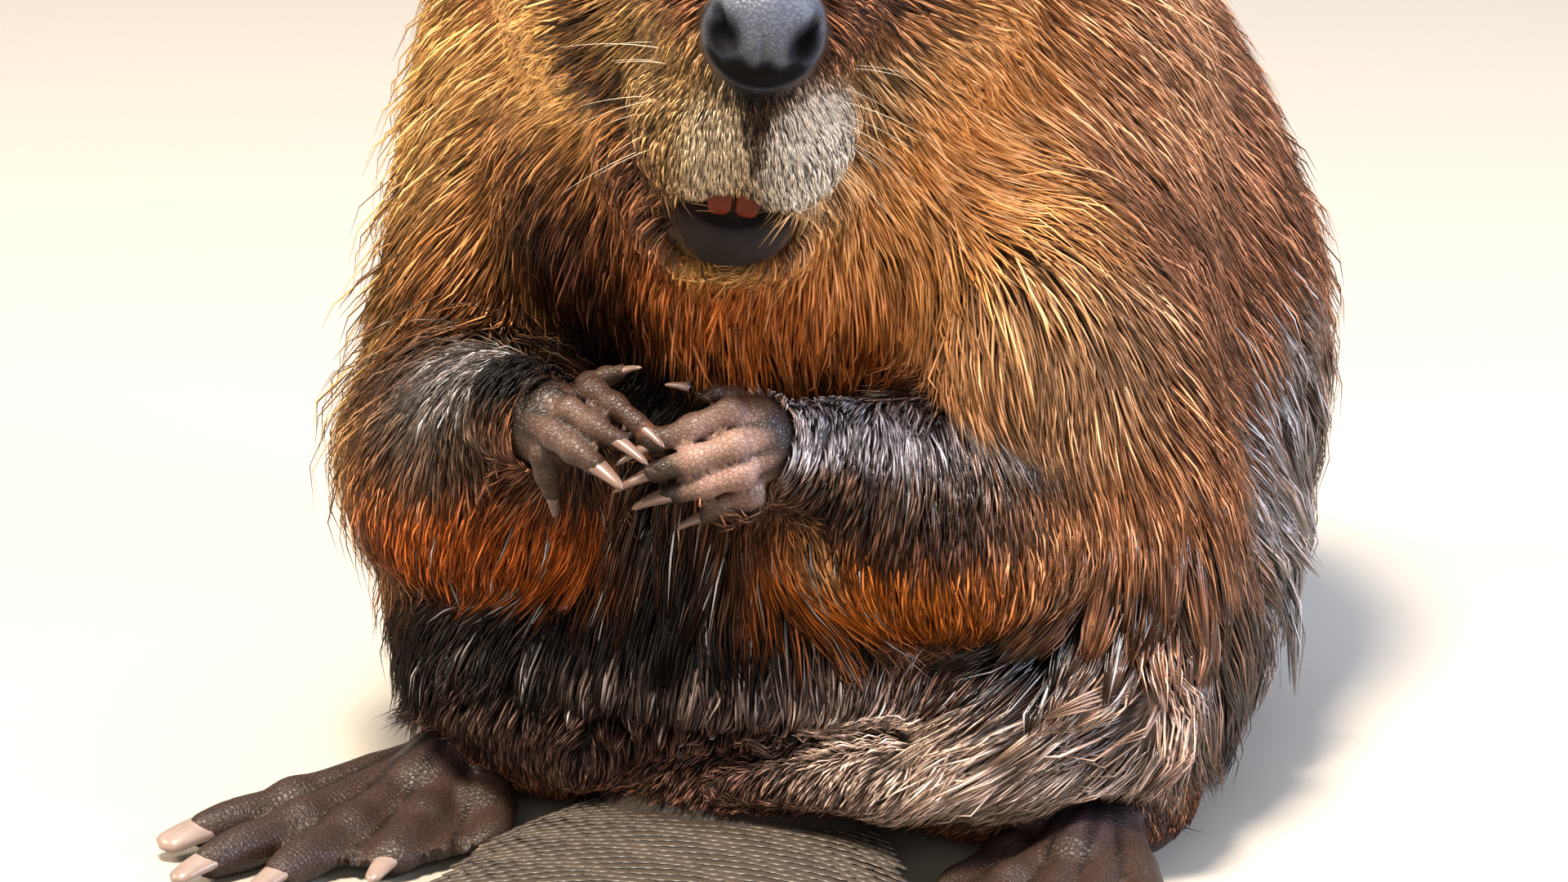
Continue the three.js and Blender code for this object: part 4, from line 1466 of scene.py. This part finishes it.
for side, label in SIDES:
    for i, ((knuckle, tip, _), (length, wide)) in enumerate(zip(FINGERS[side], FORE_CLAWS), 1):
        way = np.array(tip, float) - np.array(knuckle, float)
        start = np.array(knuckle, float) + way * 1.02
        name = f"{label}_{i}"
        claw("claw_fore_" + name, "fore_claw_" + name, start, way, length, wide, 0.7, 0.35, 0.14)
    for i, (reach, angle, (length, wide, blunt)) in enumerate(zip(TOE_LENGTHS, TOE_SPREAD, HIND_CLAWS), 1):
        turn = math.radians(side * (TOE_OUT[side] + angle))
        way = np.array((math.sin(turn), -math.cos(turn), -0.05))
        start = np.array((*HEEL[side], 0)) + way * (reach - 20)
        start[2] = 6.2 if i == 1 else 7.2
        name = f"{label}_{i}"
        claw("claw_hind_" + name, "hind_claw_" + name, start, way, length, wide, 0.5, blunt, 0.12)


def squircle(name, centre, radii, power=0.5, rows=12, sides=20):
    """A rounded block in the head's frame, closed, made of rows of points."""
    def bent(v):
        return np.sign(v) * np.abs(v) ** power

    tilt = np.linspace(-math.pi / 2, math.pi / 2, rows + 2)[1:-1]
    angles = np.linspace(0, 2 * math.pi, sides, endpoint=False)
    x = bent(np.cos(tilt))[:, None] * bent(np.cos(angles))[None] * radii[0]
    y = bent(np.cos(tilt))[:, None] * bent(np.sin(angles))[None] * radii[1]
    z = np.repeat(bent(np.sin(tilt))[:, None], sides, 1) * radii[2]
    grid = np.stack([x, y, z], 2).reshape(-1, 3)
    verts = np.concatenate([grid, [(0, 0, -radii[2])], [(0, 0, radii[2])]]) + np.array(centre)
    outward = tube_faces(rows, sides)[:, ::-1]
    return new_mesh(name, (verts @ HEAD[0].T + HEAD[1]) * METRES, outward)


for side, label in SIDES:
    tooth = squircle(f"incisor_{label}", (side * 3.9, -62, -57.5), (3.7, 2.6, 9.5))
    tooth.data.materials.append(enamel)
    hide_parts("incisors")
    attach(tooth, "root")
    eyeball = squircle(f"eyeball_{label}", mirrored(EYE_AT, side), (EYE_RADIUS,) * 3, 1.0, 20, 32)
    eyeball.data.materials.append(eye_gloss)
    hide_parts(f"eye_{label}")
    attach(eyeball, "root")


WHISKERS, WHISKER_RADIUS, WHISKER_DROOP = 10, 0.12, 0.22


def whiskers():
    """Stiff pale hairs, each a thin tapered tube that leaves the side of the muzzle and droops."""
    rng = np.random.default_rng(SEED + 1)
    t = np.linspace(0, 1, 8)
    radii, ups = WHISKER_RADIUS * (1 - 0.7 * t), np.tile((0, 0, 1.0), (len(t), 1))
    for side, label in SIDES:
        parts = []
        for i in range(WHISKERS):
            row, column = i % 5, i // 5
            start = np.array((
                side * (19 + 1.2 * column), -66 + 4.2 * column, -20 - 6.5 * row + rng.normal(0, 1.2),
            ))
            way = np.array((side * (1.0 + 0.1 * column), 0.12 + 0.22 * column, 0.12 - 0.16 * row))
            way = way + rng.normal(0, 0.1, 3)
            way = way / np.linalg.norm(way)
            length = rng.uniform(18, 36)
            spine = start + way * (t * length)[:, None]
            spine[:, 2] -= t**2 * length * WHISKER_DROOP
            hair = swept("hair", spine @ HEAD[0].T + HEAD[1], ups, radii, radii, 5)
            hair.data.materials.append(whisker_horn)
            parts.append(hair)
        bpy.ops.object.select_all(action="DESELECT")
        for part in parts:
            part.select_set(True)
        bpy.context.view_layer.objects.active = parts[0]
        bpy.ops.object.join()
        parts[0].name = f"whiskers_{label}"
        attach(parts[0], "root")


whiskers()


# The tail's scales, in millimetres of the real animal.
SCALE_LONG, SCALE_WIDE, SCALE_HIGH = 3.9, 5.2, 0.8
SCALE_OVERLAP = 1.25
# How near the blade's rim they go, where 1 is the rim.
SCALE_EDGE = 0.955


def onto_blade(p, rounds=4):
    """Points brought onto the blade's face, and its outward direction there."""
    for _ in range(rounds):
        slope = slope_of(tail_blade, p, 0.3)
        p = p - tail_blade(p)[:, None] * slope
    return p, slope


def scale_points(top):
    """Where the scales sit: rows that arch across the tail, each row set between the ones beside it."""
    rows = int(2 * TAIL_LONG * U / SCALE_LONG)
    across = int(2 * TAIL_WIDE * U / SCALE_WIDE)
    spots = []
    for i in range(rows + 4):
        for j in range(-across // 2 - 1, across // 2 + 2):
            x = (j + 0.5 * (i % 2)) * SCALE_WIDE / U + 0.6 * math.sin(i * 2.3 + j * 1.7)
            y = -TAIL_LONG - 6 + i * SCALE_LONG / U - 0.0022 * x * x + 0.7 * math.sin(i * 1.1 + x * 0.16)
            if abs(x / TAIL_WIDE) ** TAIL_CURVE + abs(y / TAIL_LONG) ** TAIL_CURVE < SCALE_EDGE:
                spots.append((x, y, 26 if top else -2))
    p = np.array(spots, np.float32) @ tail_turn.T + np.array((*TAIL_CENTRE, 0), np.float32)
    p, slope = onto_blade(p)
    open_air = (body_field(p) > 0.5) & (p[:, 2] > (0 if top else 1.0))
    return p[open_air], slope[open_air]


def scale_tree():
    """Geometry Nodes: a flattened scale on each point, turned by the point's turn attribute and sized by the
    group's inputs with a little randomness.
    """
    tree = bpy.data.node_groups.new("tail_scales", "GeometryNodeTree")
    sockets = {}
    for label, kind, value in (
        ("Geometry", "NodeSocketGeometry", None),
        ("Scale length", "NodeSocketFloat", SCALE_LONG / 1000),
        ("Scale width", "NodeSocketFloat", SCALE_WIDE * SCALE_OVERLAP / 1000),
        ("Scale height", "NodeSocketFloat", SCALE_HIGH / 1000),
        ("Seed", "NodeSocketInt", SEED),
        ("Finish", "NodeSocketMaterial", None),
    ):
        socket = tree.interface.new_socket(label, in_out="INPUT", socket_type=kind)
        if value is not None:
            socket.default_value = value
        sockets[label] = socket.identifier
    tree.interface.new_socket("Geometry", in_out="OUTPUT", socket_type="NodeSocketGeometry")
    given = node(tree, "NodeGroupInput")
    turn = node(tree, "GeometryNodeInputNamedAttribute", {"data_type": "FLOAT_VECTOR", "Name": "turn"})
    turned = node(tree, "FunctionNodeEulerToRotation", _0=turn.outputs[0])
    rand = node(tree, "FunctionNodeRandomValue", {2: 0.86, 3: 1.12}, Seed=given.outputs["Seed"])
    half = node(
        tree, "ShaderNodeCombineXYZ",
        X=given.outputs["Scale width"], Y=given.outputs["Scale length"], Z=given.outputs["Scale height"],
    )
    scaling = {"operation": "SCALE"}
    sized = node(tree, "ShaderNodeVectorMath", scaling, _0=half.outputs[0], Scale=rand.outputs[1])
    shape = node(tree, "GeometryNodeMeshUVSphere", {"Segments": 8, "Rings": 5, "Radius": 0.63})
    spread_out = node(
        tree, "GeometryNodeInstanceOnPoints",
        Points=given.outputs["Geometry"], Instance=shape.outputs[0], Rotation=turned.outputs[0],
        Scale=sized.outputs[0],
    )
    real = node(tree, "GeometryNodeRealizeInstances", _0=spread_out.outputs[0])
    smooth = node(tree, "GeometryNodeSetShadeSmooth", _0=real.outputs[0])
    finish = node(tree, "GeometryNodeSetMaterial", _0=smooth.outputs[0], Material=given.outputs["Finish"])
    node(tree, "NodeGroupOutput", _0=finish.outputs[0])
    return tree, sockets


def grow_scales():
    """Both faces' scales, each laid along the tail with its tip a little raised, as one plain mesh a face."""
    tree, sockets = scale_tree()
    for top, label in ((True, "top"), (False, "under")):
        spots, slope = scale_points(top)
        ahead = np.tile(tail_turn @ np.array((0, -1, 0), np.float32), (len(spots), 1))
        ahead = unit(along_surface(ahead, slope) + slope * 0.1)
        side = unit(np.cross(ahead, slope))
        axes = np.stack([side, ahead, np.cross(side, ahead)], 2)
        turns = [Matrix(rows.tolist()).to_euler("XYZ") for rows in axes]
        carrier = bpy.data.meshes.new("scale_points")
        carrier.from_pydata((spots * METRES).tolist(), [], [])
        carrier.attributes.new("turn", "FLOAT_VECTOR", "POINT").data.foreach_set(
            "vector", np.array([tuple(t) for t in turns], np.float32).ravel(),
        )
        holder = bpy.data.objects.new("scale_holder", carrier)
        bpy.context.scene.collection.objects.link(holder)
        modifier = holder.modifiers.new("scales", "NODES")
        modifier.node_group = tree
        modifier[sockets["Seed"]] = SEED + (1 if top else 2)
        modifier[sockets["Finish"]] = tail_horn
        holder.data.update()
        evaluated = holder.evaluated_get(bpy.context.evaluated_depsgraph_get())
        mesh = bpy.data.meshes.new_from_object(evaluated)
        holder.modifiers.clear()
        bpy.data.objects.remove(holder)
        piece = bpy.data.objects.new(f"tail_scales_{label}", mesh)
        bpy.context.scene.collection.objects.link(piece)
        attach(piece, "root")


grow_scales()

# Camera, lights and floor. The camera looks from a turn to the animal's left and a rise, in degrees.
VIEW_TURN, VIEW_RISE, VIEW_MIDDLE, VIEW_DISTANCE = 18, 17, (-0.0148, -0.0048, 0.0984), 2.756
LIT = Vector((0, -0.05, 0.15))

camera = bpy.data.cameras.new("camera")
camera.lens, camera.sensor_width, camera.clip_start, camera.clip_end = 200, 36, 0.05, 50
viewer = bpy.data.objects.new("camera", camera)
bpy.context.scene.collection.objects.link(viewer)
bpy.context.scene.camera = viewer
turn, rise = math.radians(VIEW_TURN), math.radians(VIEW_RISE)
toward = Vector((math.sin(turn) * math.cos(rise), -math.cos(turn) * math.cos(rise), math.sin(rise)))
viewer.location = Vector(VIEW_MIDDLE) + toward * VIEW_DISTANCE
viewer.rotation_euler = (-toward).to_track_quat("-Z", "Y").to_euler()


def softbox(name, place, size, power, code):
    """A square lamp of a colour, which faces the middle of the animal."""
    light = bpy.data.lights.new(name, "AREA")
    light.size, light.energy, light.color = size, power, hex_rgb(code)
    lamp = bpy.data.objects.new(name, light)
    bpy.context.scene.collection.objects.link(lamp)
    lamp.location = place
    lamp.rotation_euler = (LIT - Vector(place)).to_track_quat("-Z", "Y").to_euler()


softbox("sun_box", (0.0, -0.85, 1.95), 0.45, 118, 0xFFF3E2)
softbox("sky_box", (0.2, 0.7, 1.7), 1.5, 28, 0xD6E4FF)
softbox("side_box", (1.8, 0.0, 0.8), 0.6, 48, 0xDCE6FF)
softbox("front_box", (0.6, -2.4, 0.9), 1.3, 17, 0xFFF6EA)
softbox("left_box", (-1.5, -0.7, 1.2), 0.5, 42, 0xFFEBD0)

bpy.ops.mesh.primitive_plane_add(size=8)
floor = bpy.context.object
floor.name = "floor"
paper, tree, shader = material("matt_paper")
set_sockets(shader, Roughness=0.9)
shader.inputs["Base Color"].default_value = (*hex_rgb(0xA8A196), 1)
floor.data.materials.append(paper)
world = bpy.data.worlds.new("studio")
bpy.context.scene.world = world
world.use_nodes = True
world.node_tree.nodes["Background"].inputs[0].default_value = (*hex_rgb(0xE4E8EE), 1)
world.node_tree.nodes["Background"].inputs[1].default_value = 0.26
bpy.context.scene.view_settings.view_transform = "Standard"
